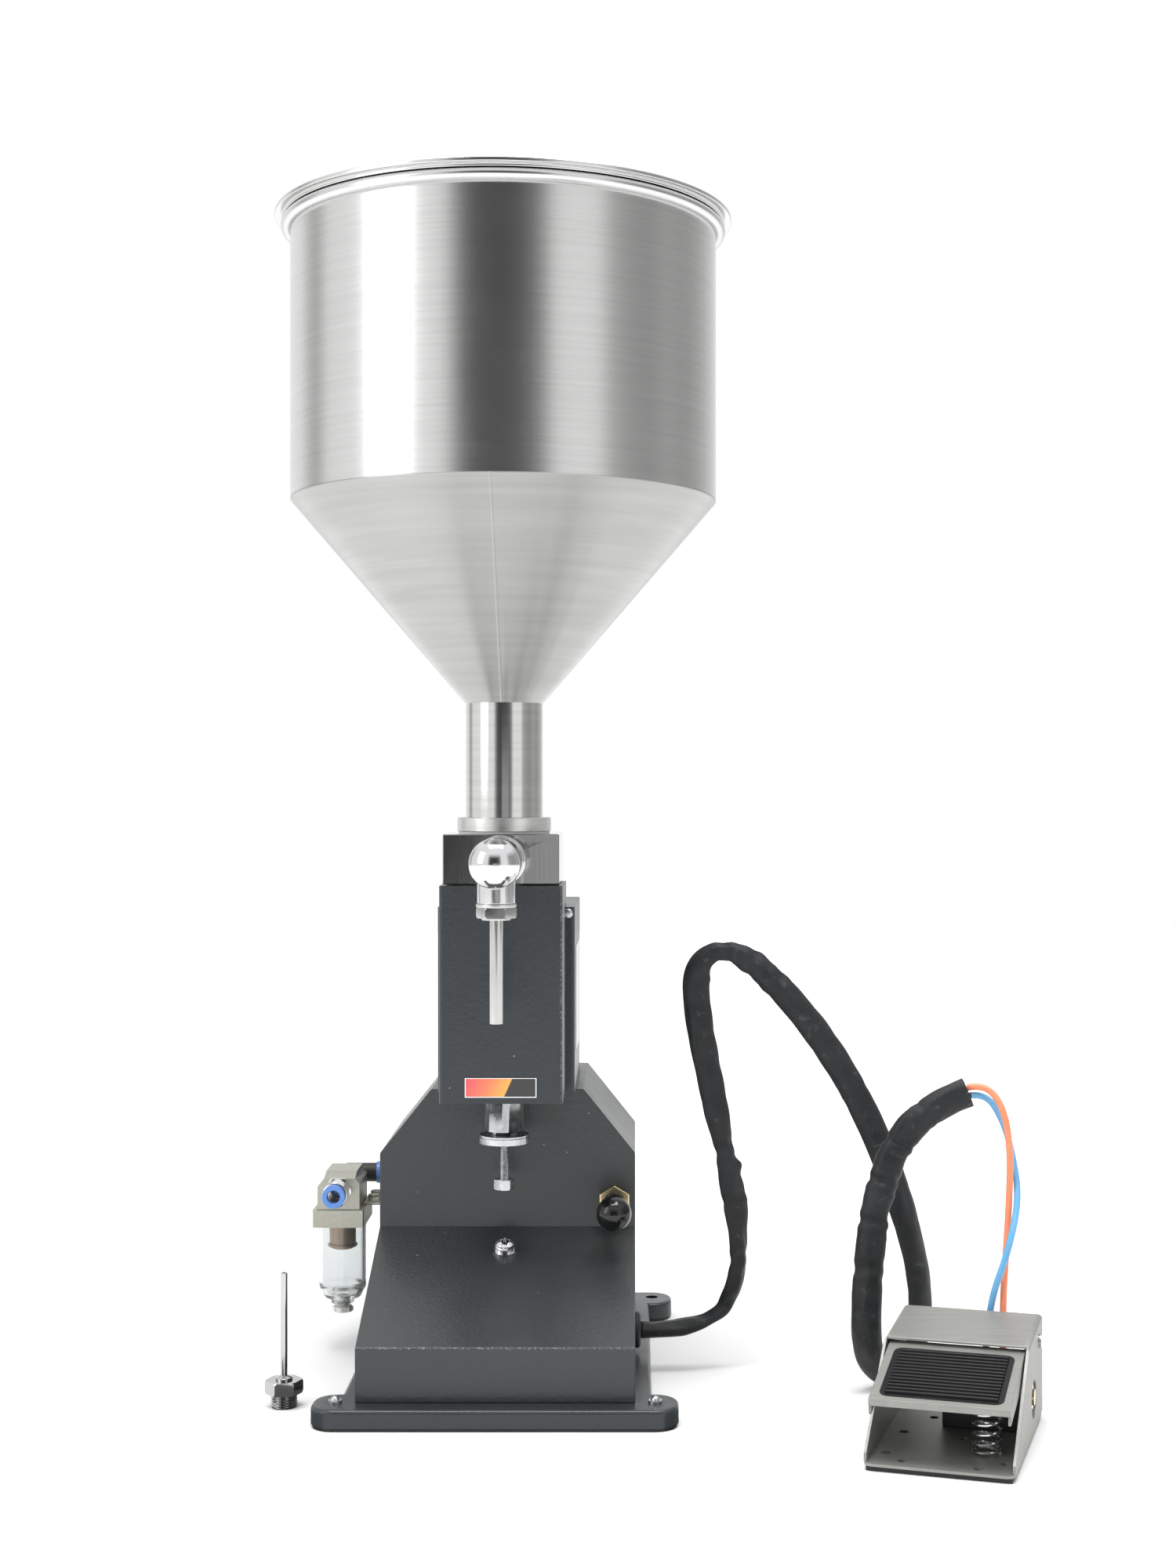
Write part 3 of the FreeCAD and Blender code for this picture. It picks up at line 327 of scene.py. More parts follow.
orange_tube = moulded("orange_tube", (0.93, 0.25, 0.13), (0.97, 0.31, 0.17), 0.2, 0.3, Subsurface_Weight=0.15)
blue_tube = moulded("blue_tube", (0.075, 0.37, 0.66), (0.11, 0.43, 0.74), 0.2, 0.3, Subsurface_Weight=0.15)
plate_print = moulded("plate_print", (0.66, 0.67, 0.67), (0.72, 0.73, 0.73), 0.3, 0.4)
clear = Finish("clear_bowl", Transmission_Weight=0.93, IOR=1.49, Base_Color=(0.84, 0.86, 0.86, 1))
clear.gloss(clear.marks(60.0), 0.03, 0.14)
clear_plastic = clear.material
print("finishes:", len(bpy.data.materials))

# %% [markdown]
# ## Helpers for shapes
# Round parts are turned: a half profile is drawn with a few vertices, its corners are rounded, and it is
# spun about its axis. Flat parts are an outline that is rounded and pushed up. Parts whose measured shape
# is right already are copied from the frame, merged and given soft edges, because real folded sheet has no
# knife edges and only a soft edge catches a highlight.

# %% Shape helpers
def finish_piece(bm, name, material, body="frame", slot=None, replaces=(), smooth=35):
    """Turn a bmesh into a piece that rides on a body."""
    mesh = bpy.data.meshes.new(name)
    bm.to_mesh(mesh)
    bm.free()
    mesh.shade_smooth()
    mesh.set_sharp_from_angle(angle=radians(smooth))
    piece = put(name, mesh)
    mesh.materials.append(material)
    even = piece.modifiers.new("even_normals", "WEIGHTED_NORMAL")
    even.keep_sharp = True
    even.weight = 80
    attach(piece, body)
    slot or slot_of(material)
    if replaces:
        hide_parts(*replaces)
    return piece


def keep(bm, name, material, **ways):
    """The same, with all its faces turned outwards first."""
    bmesh.ops.recalc_face_normals(bm, faces=bm.faces)
    return finish_piece(bm, name, material, **ways)


def shift(bm, verts, x=0.0, y=0.0, z=0.0):
    bmesh.ops.translate(bm, vec=(x * MM, y * MM, z * MM), verts=verts)


def rotate(bm, verts, angle, axis):
    bmesh.ops.rotate(bm, cent=(0, 0, 0), matrix=Matrix.Rotation(angle, 3, axis), verts=verts)


def bevel(bm, geometry, offset, segments, affect="EDGES", clamp=False):
    """Round edges or corners by an offset in mm."""
    bmesh.ops.bevel(bm, geom=geometry, offset=offset * MM, offset_type="OFFSET", segments=segments, profile=0.5,
                    affect=affect, material=-1, clamp_overlap=clamp)


def spin(bm, geometry, steps, climb=0.0, turns=1.0, merge=True):
    """Sweep a profile round Z, climbing some metres at each step, and give its last copy."""
    return bmesh.ops.spin(bm, geom=geometry, cent=(0, 0, 0), axis=(0, 0, 1), dvec=(0, 0, climb),
                          angle=2 * pi * turns, steps=steps, use_merge=merge, use_duplicate=False)["geom_last"]


def push(bm, x=0.0, z=0.0):
    """Extrude all the faces by some mm."""
    pushed = bmesh.ops.extrude_face_region(bm, geom=bm.faces[:])["geom"]
    shift(bm, [v for v in pushed if isinstance(v, bmesh.types.BMVert)], x, 0, z)


def chain(bm, points):
    """A row of vertices in the XZ plane, in mm, joined one to the next."""
    row = [bm.verts.new((x * MM, 0, z * MM)) for x, z in points]
    return row, [bm.edges.new(pair) for pair in zip(row, row[1:])]


def turn(bm, profile, steps=96, soft=0.0, segments=2):
    """Spin a profile of (radius, height) corners, in mm, about the Z axis, with its corners rounded."""
    corners, edges = chain(bm, profile)
    inner = corners[1:-1]
    if profile[0][0] > 1e-6 and profile[-1][0] > 1e-6:
        edges.append(bm.edges.new((corners[-1], corners[0])))
        inner = corners
    geometry = corners + edges
    if soft:
        bevel(bm, inner, soft, segments, "VERTICES")
        geometry = [v for v in bm.verts if not v.link_faces] + [e for e in bm.edges if not e.link_faces]
    spin(bm, geometry, steps)
    bmesh.ops.remove_doubles(bm, verts=bm.verts, dist=1e-7)


def point_along(direction, at):
    """A matrix that turns +Z to a direction and then moves to a place in mm."""
    turned = Vector(direction).normalized().to_track_quat("Z", "Y").to_matrix().to_4x4()
    return Matrix.Translation(Vector(at) * MM) @ turned


def place(bm, matrix):
    bmesh.ops.transform(bm, matrix=matrix, verts=bm.verts)


def assembled(name, material, parts, at=(0, 0, 0), direction=(0, 0, 1), **ways):
    """A piece of several parts, each a helper and what it needs, made upright and then placed."""
    bm = bmesh.new()
    for helper, *needs in parts:
        helper(bm, *needs)
    place(bm, point_along(direction, at))
    return keep(bm, name, material, **ways)


def ring(inner, outer, bottom, top):
    """The profile of a plain ring or tube, in mm."""
    return [(inner, bottom), (outer, bottom), (outer, top), (inner, top)]


def turned_piece(name, profile, material, at=(0, 0, 0), direction=(0, 0, 1), steps=96, soft=0.0, segments=2,
                 **ways):
    return assembled(name, material, [(turn, profile, steps, soft, segments)], at, direction, **ways)


def add_block(bm, low, high, soft=0.0, segments=2):
    """A block between two corners in mm, with all its edges rounded."""
    low, high = Vector(low) * MM, Vector(high) * MM
    made = bmesh.ops.create_cube(bm, size=1.0)["verts"]
    bmesh.ops.scale(bm, vec=high - low, verts=made)
    bmesh.ops.translate(bm, vec=(low + high) / 2, verts=made)
    if soft:
        bevel(bm, list({edge for vert in made for edge in vert.link_edges}), soft, segments)


def block_piece(name, material, low, high, soft, segments=2, **ways):
    bm = bmesh.new()
    add_block(bm, low, high, soft, segments)
    return keep(bm, name, material, **ways)


def add_hex(bm, across_flats, bottom, top, corner=1.0, turned_by=0.0):
    """A hexagon nut along Z, its twelve corners cut back as on a turned bar."""
    part = bmesh.new()
    bmesh.ops.create_circle(part, segments=6, radius=across_flats / sqrt(3) * MM, cap_ends=True)
    push(part, z=top - bottom)
    shift(part, part.verts, z=bottom)
    bevel(part, list(part.verts), corner, 1, "VERTICES")
    bevel(part, list(part.edges), 0.15, 2, clamp=True)
    rotate(part, part.verts, turned_by, "Z")
    merge_in(bm, part)


def merge_in(bm, part):
    """Add one bmesh to another through a short-lived mesh."""
    bmesh.ops.recalc_face_normals(part, faces=part.faces)
    mesh = bpy.data.meshes.new("part")
    part.to_mesh(mesh)
    part.free()
    bm.from_mesh(mesh)
    bpy.data.meshes.remove(mesh)


def soften(bm, radius, shortest, where=None):
    """Round the long convex edges of a folded sheet."""
    edges = [e for e in bm.edges if e.is_manifold and e.is_convex and e.calc_length() > shortest * MM
             and e.calc_face_angle() > radians(30) and (where is None or where(e))]
    bevel(bm, edges, radius, 3, clamp=True)
    return len(edges)


def refined(node, material, radius=0.0, shortest=6.0, body="frame", where=None):
    """A node's loose triangles merged, with its flat faces made whole and its long edges soft."""
    bm = bmesh.new()
    bm.from_mesh(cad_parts[node].data)
    bmesh.ops.remove_doubles(bm, verts=bm.verts, dist=2e-6)
    bmesh.ops.dissolve_limit(bm, angle_limit=radians(0.4), verts=bm.verts, edges=bm.edges)
    rounded = soften(bm, radius, shortest, where) if radius else 0
    finish_piece(bm, node + "_soft", material, body=body, replaces=(node,))
    print(node, "softened", rounded, "edges")


# %% [markdown]
# ## The hose and its two air tubes
# Two 4 mm air tubes run inside a flat woven sleeve. The sleeve is limp: it rises in an arch, folds sharply at
# the top, drops behind the pedal, touches the floor, rises again and ends in a plain cut, where the tubes
# come out and go down to the pedal. Each follows one smooth NURBS line.

# %% Routes, in mm
HOSE_EXIT = (84, -16, 26)
SLEEVE_ROUTE = [
    HOSE_EXIT, (112, -16, 26), (139, -16.5, 39), (147, -17, 78), (139, -17.2, 126), (128, -17.6, 179),
    (119, -18, 224), (118, -18, 256), (142, -18.2, 265), (170, -18.5, 243), (204, -19, 200), (230, -19.5, 152),
    (248, -19.5, 102), (258, -17.5, 62), (260, -15, 27), (248, -30.5, 7.2), (231, -52.5, 7.2), (219, -68, 27),
    (220.5, -66, 68), (224, -66, 106), (235, -66, 146), (256, -66, 172), (281, -66, 182)]
ORANGE_ROUTE = [
    (280.7, -66, 184.6), (290.5, -68.5, 187.3), (301, -74.5, 175), (304.5, -79.5, 150), (303, -83, 118),
    (300, -88, 86), (296.5, -99, 60), (296.3, -100.7, 36.2)]
BLUE_ROUTE = [
    (282.5, -66, 179.9), (292.5, -64, 180.8), (302.5, -64.5, 165), (307.5, -69, 145), (309, -84, 121),
    (299.5, -98, 91), (288.5, -99.5, 63), (286.8, -97.8, 36.2)]


def nurbs_line(name, route):
    """A NURBS curve object whose control points are the route's."""
    curve = bpy.data.curves.new(name, "CURVE")
    curve.dimensions = "3D"
    curve.resolution_u = 24
    spline = curve.splines.new("NURBS")
    spline.points.add(len(route) - 1)
    for point, (x, y, z) in zip(spline.points, route):
        point.co = (x * MM, y * MM, z * MM, 1)
    spline.order_u = 3
    spline.use_endpoint_u = True
    spline.resolution_u = 24
    return put(name, curve)


def points_of(name, route):
    """The smooth line's own points, read from the curve while it has no thickness."""
    line = nurbs_line(name, route)
    mesh = bpy.data.meshes.new_from_object(line)
    points = [vertex.co.copy() for vertex in mesh.vertices]
    bpy.data.objects.remove(line)
    bpy.data.meshes.remove(mesh)
    return points


def length_of(points):
    return sum((b - a).length for a, b in zip(points, points[1:]))


sleeve_line = points_of("sleeve_line", SLEEVE_ROUTE)
print("sleeve", round(length_of(sleeve_line), 3), "m,", len(sleeve_line), "points")


# %% [markdown]
# ### The woven sleeve
# A grid is wrapped round the line: each row is a flattened oval whose width, thickness and twist change
# along it, pushed in and out by long creases that are sharper where the sleeve folds. The weave runs in the
# piece's own UV map, so it follows the bends.

# %% The sleeve's shape
SLEEVE_ROWS = 430
SLEEVE_AROUND = 36
SLEEVE_SPAN = 828  # mm, the length that its creases are spaced by
BENCH_GAP = 0.3 * MM
# how far along, and half the width, half the thickness and the twist in degrees there
SLEEVE_WIDTH = [(0.0, 6.3), (0.03, 7.0), (0.06, 5.0), (0.10, 6.6), (0.16, 7.6), (0.19, 6.4), (0.22, 8.0), (0.32, 8.6),
                (0.37, 7.6), (0.40, 8.6), (0.55, 8.8), (0.66, 8.0), (0.72, 8.2), (0.80, 9.2), (0.94, 9.4), (1.0, 9.0)]
SLEEVE_THICK = [(0.0, 4.6), (0.06, 3.6), (0.12, 4.2), (0.19, 3.6), (0.24, 4.4), (0.36, 3.6), (0.42, 4.8), (0.60, 5.0),
                (0.80, 5.6), (0.95, 5.8), (1.0, 5.4)]
SLEEVE_TWIST = [(0.0, 70), (0.04, 60), (0.10, -40), (0.17, -12), (0.24, -6), (0.36, 8), (0.5, 0), (0.66, 20),
                (0.78, 10), (1.0, 0)]
# the power that makes its section lens-shaped where it lies flat, and round (1.0) where it is full
SLEEVE_EDGE = [(0.0, 1.0), (0.06, 1.5), (0.36, 1.7), (0.55, 1.4), (0.80, 1.1), (1.0, 1.0)]
# where along it, how far it reaches, how deep (mm)
FOLDS = [(0.065, 0.016, 1.8), (0.105, 0.010, 1.6), (0.150, 0.008, 1.2), (0.188, 0.010, 1.8), (0.352, 0.008, 2.2),
         (0.372, 0.010, 2.0), (0.395, 0.010, 1.5), (0.50, 0.010, 0.8), (0.84, 0.010, 1.8), (0.875, 0.008, 2.6),
         (0.905, 0.007, 2.6), (0.935, 0.007, 2.4), (0.965, 0.006, 1.4)]
# where along it, how far it reaches, which edge (+1 outside the arch, -1 inside), how far it sticks out (mm)
EARS = [(0.098, 0.012, -1, 1.8), (0.148, 0.020, -1, 1.8), (0.176, 0.007, -1, 3.0), (0.335, 0.020, -1, 1.0),
        (0.345, 0.022, -1, -6.0), (0.375, 0.012, 1, 1.6), (0.885, 0.012, -1, -1.6), (0.925, 0.010, -1, -1.2)]


def between(table, t):
    """Smooth value at t in a table of (t, value)."""
    for (t0, v0), (t1, v1) in zip(table, table[1:]):
        if t <= t1:
            share = (t - t0) / (t1 - t0)
            share = share * share * (3 - 2 * share)
            return v0 + (v1 - v0) * share
    return table[-1][1]


def even_points(points, count):
    """The same line at evenly spaced stations."""
    total, stations, walked, index = length_of(points), [], 0.0, 0
    for step in range(count):
        target = total * step / (count - 1)
        while index < len(points) - 2 and walked + (points[index + 1] - points[index]).length < target:
            walked += (points[index + 1] - points[index]).length
            index += 1
        span = (points[index + 1] - points[index]).length
        stations.append(points[index].lerp(points[index + 1], (target - walked) / span))
    return stations


def relief_at(t, angle):
    """How far folds push the cloth in, and how far its edges flare, at one point of the sleeve."""
    pushed_in, flare = 0.0, 0.0
    for middle, reach, depth in FOLDS:
        near_fold = (t - middle) / reach
        if abs(near_fold) < 3:
            pushed_in += depth * (0.5 + 0.5 * cos(near_fold * 4.2 + angle)) * 2.718 ** (-near_fold * near_fold)
    for middle, reach, toward, amount in EARS:
        near_ear = abs(t - middle) / reach
        if near_ear < 1 and toward * cos(angle) > 0.2:
            flare += amount * (1 - near_ear) * (toward * cos(angle)) ** 3
    return pushed_in, flare


def crease(along, spacing, *where):
    """A ridged noise along the sleeve, in creases some mm apart."""
    return abs(noise.noise(Vector((along / spacing, *where))))


def sleeve_mesh():
    stations = even_points(sleeve_line, SLEEVE_ROWS)
    bm = bmesh.new()
    bm.loops.layers.uv.new("weave")
    bmesh.ops.create_grid(bm, x_segments=SLEEVE_ROWS - 1, y_segments=SLEEVE_AROUND, size=1.0, calc_uvs=True)
    for vert in bm.verts:
        row = round((vert.co.x + 1) / 2 * (SLEEVE_ROWS - 1))
        angle = (vert.co.y + 1) * pi
        t = row / (SLEEVE_ROWS - 1)
        here = stations[row]
        ahead = (stations[min(row + 2, SLEEVE_ROWS - 1)] - stations[max(row - 2, 0)]).normalized()
        side = ahead.cross(Vector((0, 1, 0))).normalized()
        out = side.cross(ahead).normalized()
        tilt = radians(between(SLEEVE_TWIST, t))
        across = side * cos(tilt) + out * sin(tilt)
        through = out * cos(tilt) - side * sin(tilt)
        wide, thick = between(SLEEVE_WIDTH, t), between(SLEEVE_THICK, t)
        along = t * SLEEVE_SPAN
        pushed_in, flare = relief_at(t, angle)
        ridge = crease(along, 34, cos(angle) * 0.8, sin(angle) * 0.8 + 7)
        wrinkle = crease(along, 13, cos(angle) * 1.3 + 3, sin(angle) * 1.3) - 0.2
        edge_wander = crease(along, 21, 4.0 if cos(angle) > 0 else 9.0, 0) - 0.2
        x = (wide + flare + 0.9 * edge_wander - 0.5 * pushed_in) * cos(angle)
        lens = abs(sin(angle)) ** between(SLEEVE_EDGE, t)
        y = (thick + 2.6 * (0.28 - ridge) - 0.9 * wrinkle - pushed_in) * lens * (1 if sin(angle) >= 0 else -1)
        vert.co = here + (across * x + through * y) * MM
        vert.co.z = max(vert.co.z, BENCH_GAP)
    bmesh.ops.remove_doubles(bm, verts=bm.verts, dist=1e-7)
    return bm


# %% Sleeve material: a plain weave along the piece's UV map
weave = Finish("black_sleeve", Sheen_Weight=0.05, Sheen_Roughness=0.5, Specular_IOR_Level=0.3)
weave_uv = weave.node("UVMap", uv_map="weave").outputs["UV"]
STRANDS = (520.0 * 2 * pi, 26.0 * 2 * pi, 1.0)  # along the sleeve and around it
strands = weave.node("VectorMath", {0: weave_uv, 1: STRANDS}, operation="MULTIPLY").outputs[0]
parts = weave.node("SeparateXYZ", {0: strands}).outputs
over = weave.maths("MULTIPLY", weave.maths("SINE", parts["X"]), weave.maths("SINE", parts["Y"]))
rub = weave.marks(38.0)
cloth = weave.colour(rub, (0.010, 0.011, 0.012), (0.023, 0.025, 0.027))
scuffs = weave.spread(weave.marks(150.0), 0.60, 0.85)
weave.feed(weave.mixed(scuffs, cloth, (0.085, 0.088, 0.090)), "Base Color")
weave.gloss(rub, 0.36, 0.52)
weave.relief(over, 0.00012, 0.6)

# %% The sleeve and the tubes
sleeve = keep(sleeve_mesh(), "sleeve", weave.material, replaces=("hose_sleeve",), smooth=60)
wall = sleeve.modifiers.new("cloth_wall", "SOLIDIFY")
wall.thickness = 0.7 * MM
wall.offset = -1


def air_tube(name, route, material, node):
    tube = nurbs_line(name, route)
    tube.data.bevel_depth = 2 * MM
    tube.data.bevel_resolution = 6
    tube.data.use_fill_caps = True
    tube.data.materials.append(material)
    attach(tube, "frame")
    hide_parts(node)
    length = length_of(points_of(name + "_line", route))
    print(name, round(length, 3), "m")


air_tube("air_tube_orange", ORANGE_ROUTE, orange_tube, "tube_orange")
air_tube("air_tube_blue", BLUE_ROUTE, blue_tube, "tube_blue")

# %% [markdown]
# ## Light
# Polished steel shows the room, so the room is the real light here. It has large white sheets to the left,
# right and above, darker gaps between them, and the dark side of the studio in front, which gives the
# upright bands on the hopper. The camera sees a plain white backdrop instead.

# %% The room
world = bpy.data.worlds.new("studio_room")
scene.world = world
world.use_nodes = True
room = world.node_tree
room.nodes.clear()
split = add_node(room, "SeparateXYZ", {0: add_node(room, "TexCoord").outputs["Generated"]}).outputs
depth_side = maths(room, "MULTIPLY", split["Y"], -1.0)
bearing = maths(room, "ARCTAN2", split["X"], depth_side)

# bearing in degrees to the right of straight ahead, and how bright the room is there
ROOM_BANDS = [
    (-176, 1.28), (-142, 1.13), (-128, 0.88), (-117, 0.38), (-108, 0.62), (-98, 1.5), (-33, 1.5), (-30, 1.2),
    (-25, 0.62), (-20, 0.16), (-14, 0.06), (8, 0.05), (15, 0.10), (21, 0.2), (26, 0.42), (31, 1.2), (37, 1.5),
    (49, 1.5), (54, 1.15), (59, 0.5), (72, 0.40), (88, 0.33), (98, 0.5), (106, 0.42), (120, 0.40), (134, 0.55),
    (148, 0.72), (168, 0.95), (178, 1.2)]
BEHIND = 1.28
bands = add_node(room, "ValToRGB", {"Fac": spread(room, bearing, -pi, pi)})
bands.color_ramp.interpolation = "B_SPLINE"
ramp = bands.color_ramp.elements
ramp[0].position, ramp[0].color = 0.0, (BEHIND, BEHIND, BEHIND, 1)
ramp[1].position, ramp[1].color = 1.0, (BEHIND, BEHIND, BEHIND, 1)
for degrees_right, level in ROOM_BANDS:
    ramp.new((degrees_right + 180) / 360).color = (level, level, level * 0.995, 1)

above = add_node(room, "ValToRGB", {"Fac": spread(room, split["Z"], -1.0, 1.0)})
for stop, position, level in zip(above.color_ramp.elements, (0.70, 0.84), (0, 1)):
    stop.position, stop.color = position, (level, level, level, 1)
lift = add_node(room, "Mix", {"Factor": above.outputs["Color"], "A": bands.outputs["Color"],
                              "B": (1.06, 1.06, 1.07, 1)}, data_type="RGBA").outputs["Result"]
seen = add_node(room, "LightPath").outputs["Is Camera Ray"]
backdrop = add_node(room, "Mix", {"Factor": seen, "A": lift, "B": (1.0, 1.0, 1.0, 1)}, data_type="RGBA")
glow = add_node(room, "Background", {"Color": backdrop.outputs["Result"], "Strength": 1.0})
add_node(room, "OutputWorld", {"Surface": glow.outputs[0]})

# %% Two softboxes
def softbox(name, at, target, size, power):
    light = bpy.data.lights.new(name, "AREA")
    light.shape = "RECTANGLE"
    light.size, light.size_y = size
    light.energy = power
    lamp = put(name, light)
    lamp.location = at
    lamp.rotation_euler = (Vector(target) - Vector(at)).to_track_quat("-Z", "Y").to_euler()
    lamp.visible_camera = False


softbox("softbox_top", (0.1, -0.35, 2.3), (0.05, -0.05, 0.1), (1.6, 1.0), 44)
softbox("softbox_left", (-1.7, -1.1, 1.1), (0.05, -0.05, 0.35), (0.9, 1.5), 9)


# %% The floor, and cards seen only in the steel
def staged_sheet(name, wide, tall, marks_size, low, high):
    """A flat sheet of the studio, in one of the greys from low to high."""
    sheet_bm = bmesh.new()
    bmesh.ops.create_grid(sheet_bm, x_segments=1, y_segments=1, size=0.5)
    bmesh.ops.scale(sheet_bm, vec=(wide, tall, 1), verts=sheet_bm.verts)
    mesh = bpy.data.meshes.new(name)
    sheet_bm.to_mesh(mesh)
    sheet_bm.free()
    finish = Finish(name, Roughness=0.9, Specular_IOR_Level=0.1)
    finish.colour(finish.marks(marks_size), (low, low, low), (high, high, high))
    mesh.materials.append(finish.material)
    return put(name, mesh), finish


# The floor brightens away from the machine until it meets the backdrop without a line.
floor, floor_finish = staged_sheet("studio_floor", 8.0, 8.0, 1.0, 0.93, 0.94)
far_off = floor_finish.node("VectorMath", {0: floor_finish.place}, operation="LENGTH").outputs["Value"]
floor_finish.shader.inputs["Emission Color"].default_value = (1, 1, 1, 1)
floor_finish.feed(floor_finish.spread(far_off, 0.55, 1.8, 0.0, 0.35), "Emission Strength")

# Two dark strips lie on the floor under the cone, and a grey card stands behind the camera for the block.
CARDS = [("dark_card_left", (0.075, 0.17), (-0.128, -0.119, 0.0004), (0, 0, -47), 0.10),
         ("dark_card_right", (0.075, 0.17), (0.128, -0.119, 0.0004), (0, 0, 47), 0.10),
         ("grey_card", (0.90, 0.37), (0.29, -2.5, 0.235), (90, 0, 0), 0.27)]
for name, size, at, turn_degrees, level in CARDS:
    card, _ = staged_sheet(name, *size, 3.0, level, level * 1.1)
    card.location = at
    card.rotation_euler = [radians(angle) for angle in turn_degrees]
    card.visible_camera = card.visible_diffuse = card.visible_shadow = card.visible_transmission = False
print("room bands:", len(ROOM_BANDS))

# %% [markdown]
# ## Hopper
# A rolled shell, a sanded cone, a neck and a collar, with a wire-rolled bead at the rim, all turned about one
# axis. The many steps keep the rim round in a close view.

# %% Hopper
HOPPER_AT = (0, -40, 0)
FORWARD = (0, -1, 0)
RIM_STEPS = 192


def wire_section(bm, mean_r, z, wire_r, around):
    """The round section of a wire, stood up where its ring or coil starts."""
    section = bmesh.ops.create_circle(bm, segments=around, radius=wire_r * MM)["verts"]
    rotate(bm, section, pi / 2, "X")
    shift(bm, section, mean_r, 0, z)
    return bm.verts[:] + bm.edges[:]


def add_torus(bm, mean_r, z, wire_r, steps=160, around=20):
    """A round wire bent into a ring."""
    part = bmesh.new()
    spin(part, wire_section(part, mean_r, z, wire_r, around), steps)
    merge_in(bm, part)


assembled("hopper_wall", brushed, [(turn, ring(128.8, 130, 541.2, 704.2), RIM_STEPS),
                                   (add_torus, 132.5, 706, 3.3, RIM_STEPS)], HOPPER_AT, replaces=("hopper_shell",))

# the cone's one seam: a fine raised line down its front, under the lines that sanding left
cone_axes = cone_finish.axes()
seam_line = cone_finish.spread(cone_finish.maths("ABSOLUTE", cone_axes["X"]), 0.0003, 0.0009, 1.0, 0.0)
seam = cone_finish.maths("MULTIPLY", seam_line, cone_finish.maths("LESS_THAN", cone_axes["Y"], -0.045))
seam_bump = cone_finish.node("Bump", {"Height": seam, "Distance": 0.00025, "Strength": 0.8})
cone_finish.tree.links.new(seam_bump.outputs["Normal"], cone_finish.bump.inputs["Normal"])
cone_finish.feed(cone_finish.node("Tangent", direction_type="RADIAL", axis="Z").outputs[0], "Tangent")
turned_piece("hopper_funnel", [(23.65, 417.0), (129.9, 540.4), (130.1, 541.4), (128.5, 541.4), (22.1, 417.8)],
             cone_steel, HOPPER_AT, steps=RIM_STEPS, soft=0.25, replaces=("hopper_cone",))

assembled("neck_tube", polished, [(turn, ring(22.05, 23.65, 347, 418.2), 128, 0.3),
                                  (add_torus, 23.5, 417.7, 0.55, 128, 10)], HOPPER_AT, replaces=("hopper_neck",))
turned_piece("neck_collar", ring(22.05, 28.75, 338.7, 347.3), collar_steel,
             HOPPER_AT, steps=128, soft=0.7, segments=4)
turned_piece("neck_gasket", ring(22.05, 27.9, 337.7, 338.7), ptfe, HOPPER_AT,
             soft=0.2, replaces=("product_gaskets",))
print("hopper pieces done")

# %% [markdown]
# ### Lid
# One pressed disc: a thin edge that overhangs the bead, a shallow step, and a locating ring that drops
# inside. Its handle is a knob of black plastic.

# %% Lid
LID_PROFILE = [(0, 711), (125.5, 711), (125.5, 699), (127, 699), (127, 711), (131, 711), (131, 709.4), (135, 709.4),
               (135, 711), (139.5, 711), (139.5, 713.4), (120, 713.4), (114, 715.4), (0, 715.4)]
turned_piece("lid_disc", LID_PROFILE, brushed, HOPPER_AT, steps=RIM_STEPS, soft=0.5, segments=3, body="lid",
             replaces=("hopper_lid",))
HANDLE_PROFILE = [(0, 715.4), (9, 715.4), (9, 717.4), (5, 720.4), (5, 724.4), (13, 729.4), (14, 733.4), (12, 737.4),
                  (0, 738.9)]
turned_piece("lid_handle", HANDLE_PROFILE, gloss_black, HOPPER_AT, steps=72, soft=1.2, segments=4, body="lid",
             replaces=("lid_knob",))

# %% [markdown]
# ## Discharge
# A plated elbow comes forward from the block, ends in a domed plug that opens for cleaning, and sends its
# branch down to the nozzle.

# %% Discharge
DISCHARGE_Z = 322.0
BRANCH_AT = (0, -116.0, 0)


def arc(centre_r, centre_z, radius, start, end, count):
    """Profile corners on part of a circle, from one angle to another in degrees."""
    steps = [radians(start + (end - start) * i / count) for i in range(count + 1)]
    return [(max(centre_r + radius * cos(a), 0.0), centre_z + radius * sin(a)) for a in steps]


bm = bmesh.new()
turn(bm, [(11, 0), (15.1, 0), (15.1, 4), (14, 4), (14, 52.5), (11, 52.5)], 96, 0.5, 3)
place(bm, point_along(FORWARD, (0, -75, DISCHARGE_Z)))
part = bmesh.new()
turn(part, ring(6, 11.35, 298.5, 314.4), 72, 0.5, 3)
place(part, point_along((0, 0, 1), BRANCH_AT))
merge_in(bm, part)
keep(bm, "discharge_body", chrome, replaces=("discharge_elbow",))

dome = arc(0, 0, 16.5, 27.0, 90.0, 14)
turned_piece("discharge_plug", [(0, 0), (14.2, 0), (14.7, 0.5), (14.7, 7.3)] + [(r, z + 0.01) for r, z in dome[1:]],
             chrome, (0, -127.5, DISCHARGE_Z), FORWARD, replaces=("outlet_cap",))
turned_piece("nozzle_washer", ring(6, 11.85, 296.3, 298.5), collar_steel,
             BRANCH_AT, steps=72, soft=0.4)
assembled("nozzle", tube_steel, [(add_hex, 20.5, 289.9, 296.3, 1.3, pi / 2),
                                 (turn, ring(3.2, 4, 228.6, 290.5), 48, 0.25),
                                 (turn, [(4, 288.9), (8.6, 288.9), (9.0, 290), (4, 290)], 48)],
          BRANCH_AT, replaces=("filling_nozzle",))
print("discharge done")

# %% [markdown]
# ## Threads, knurls and springs
# A thread is a zigzag spun once while it climbs by one pitch, so its ends meet the next groove. A knurl is
# a turned band whose vertices stand out like a chessboard. A spring is a wire section that climbs as it spins.

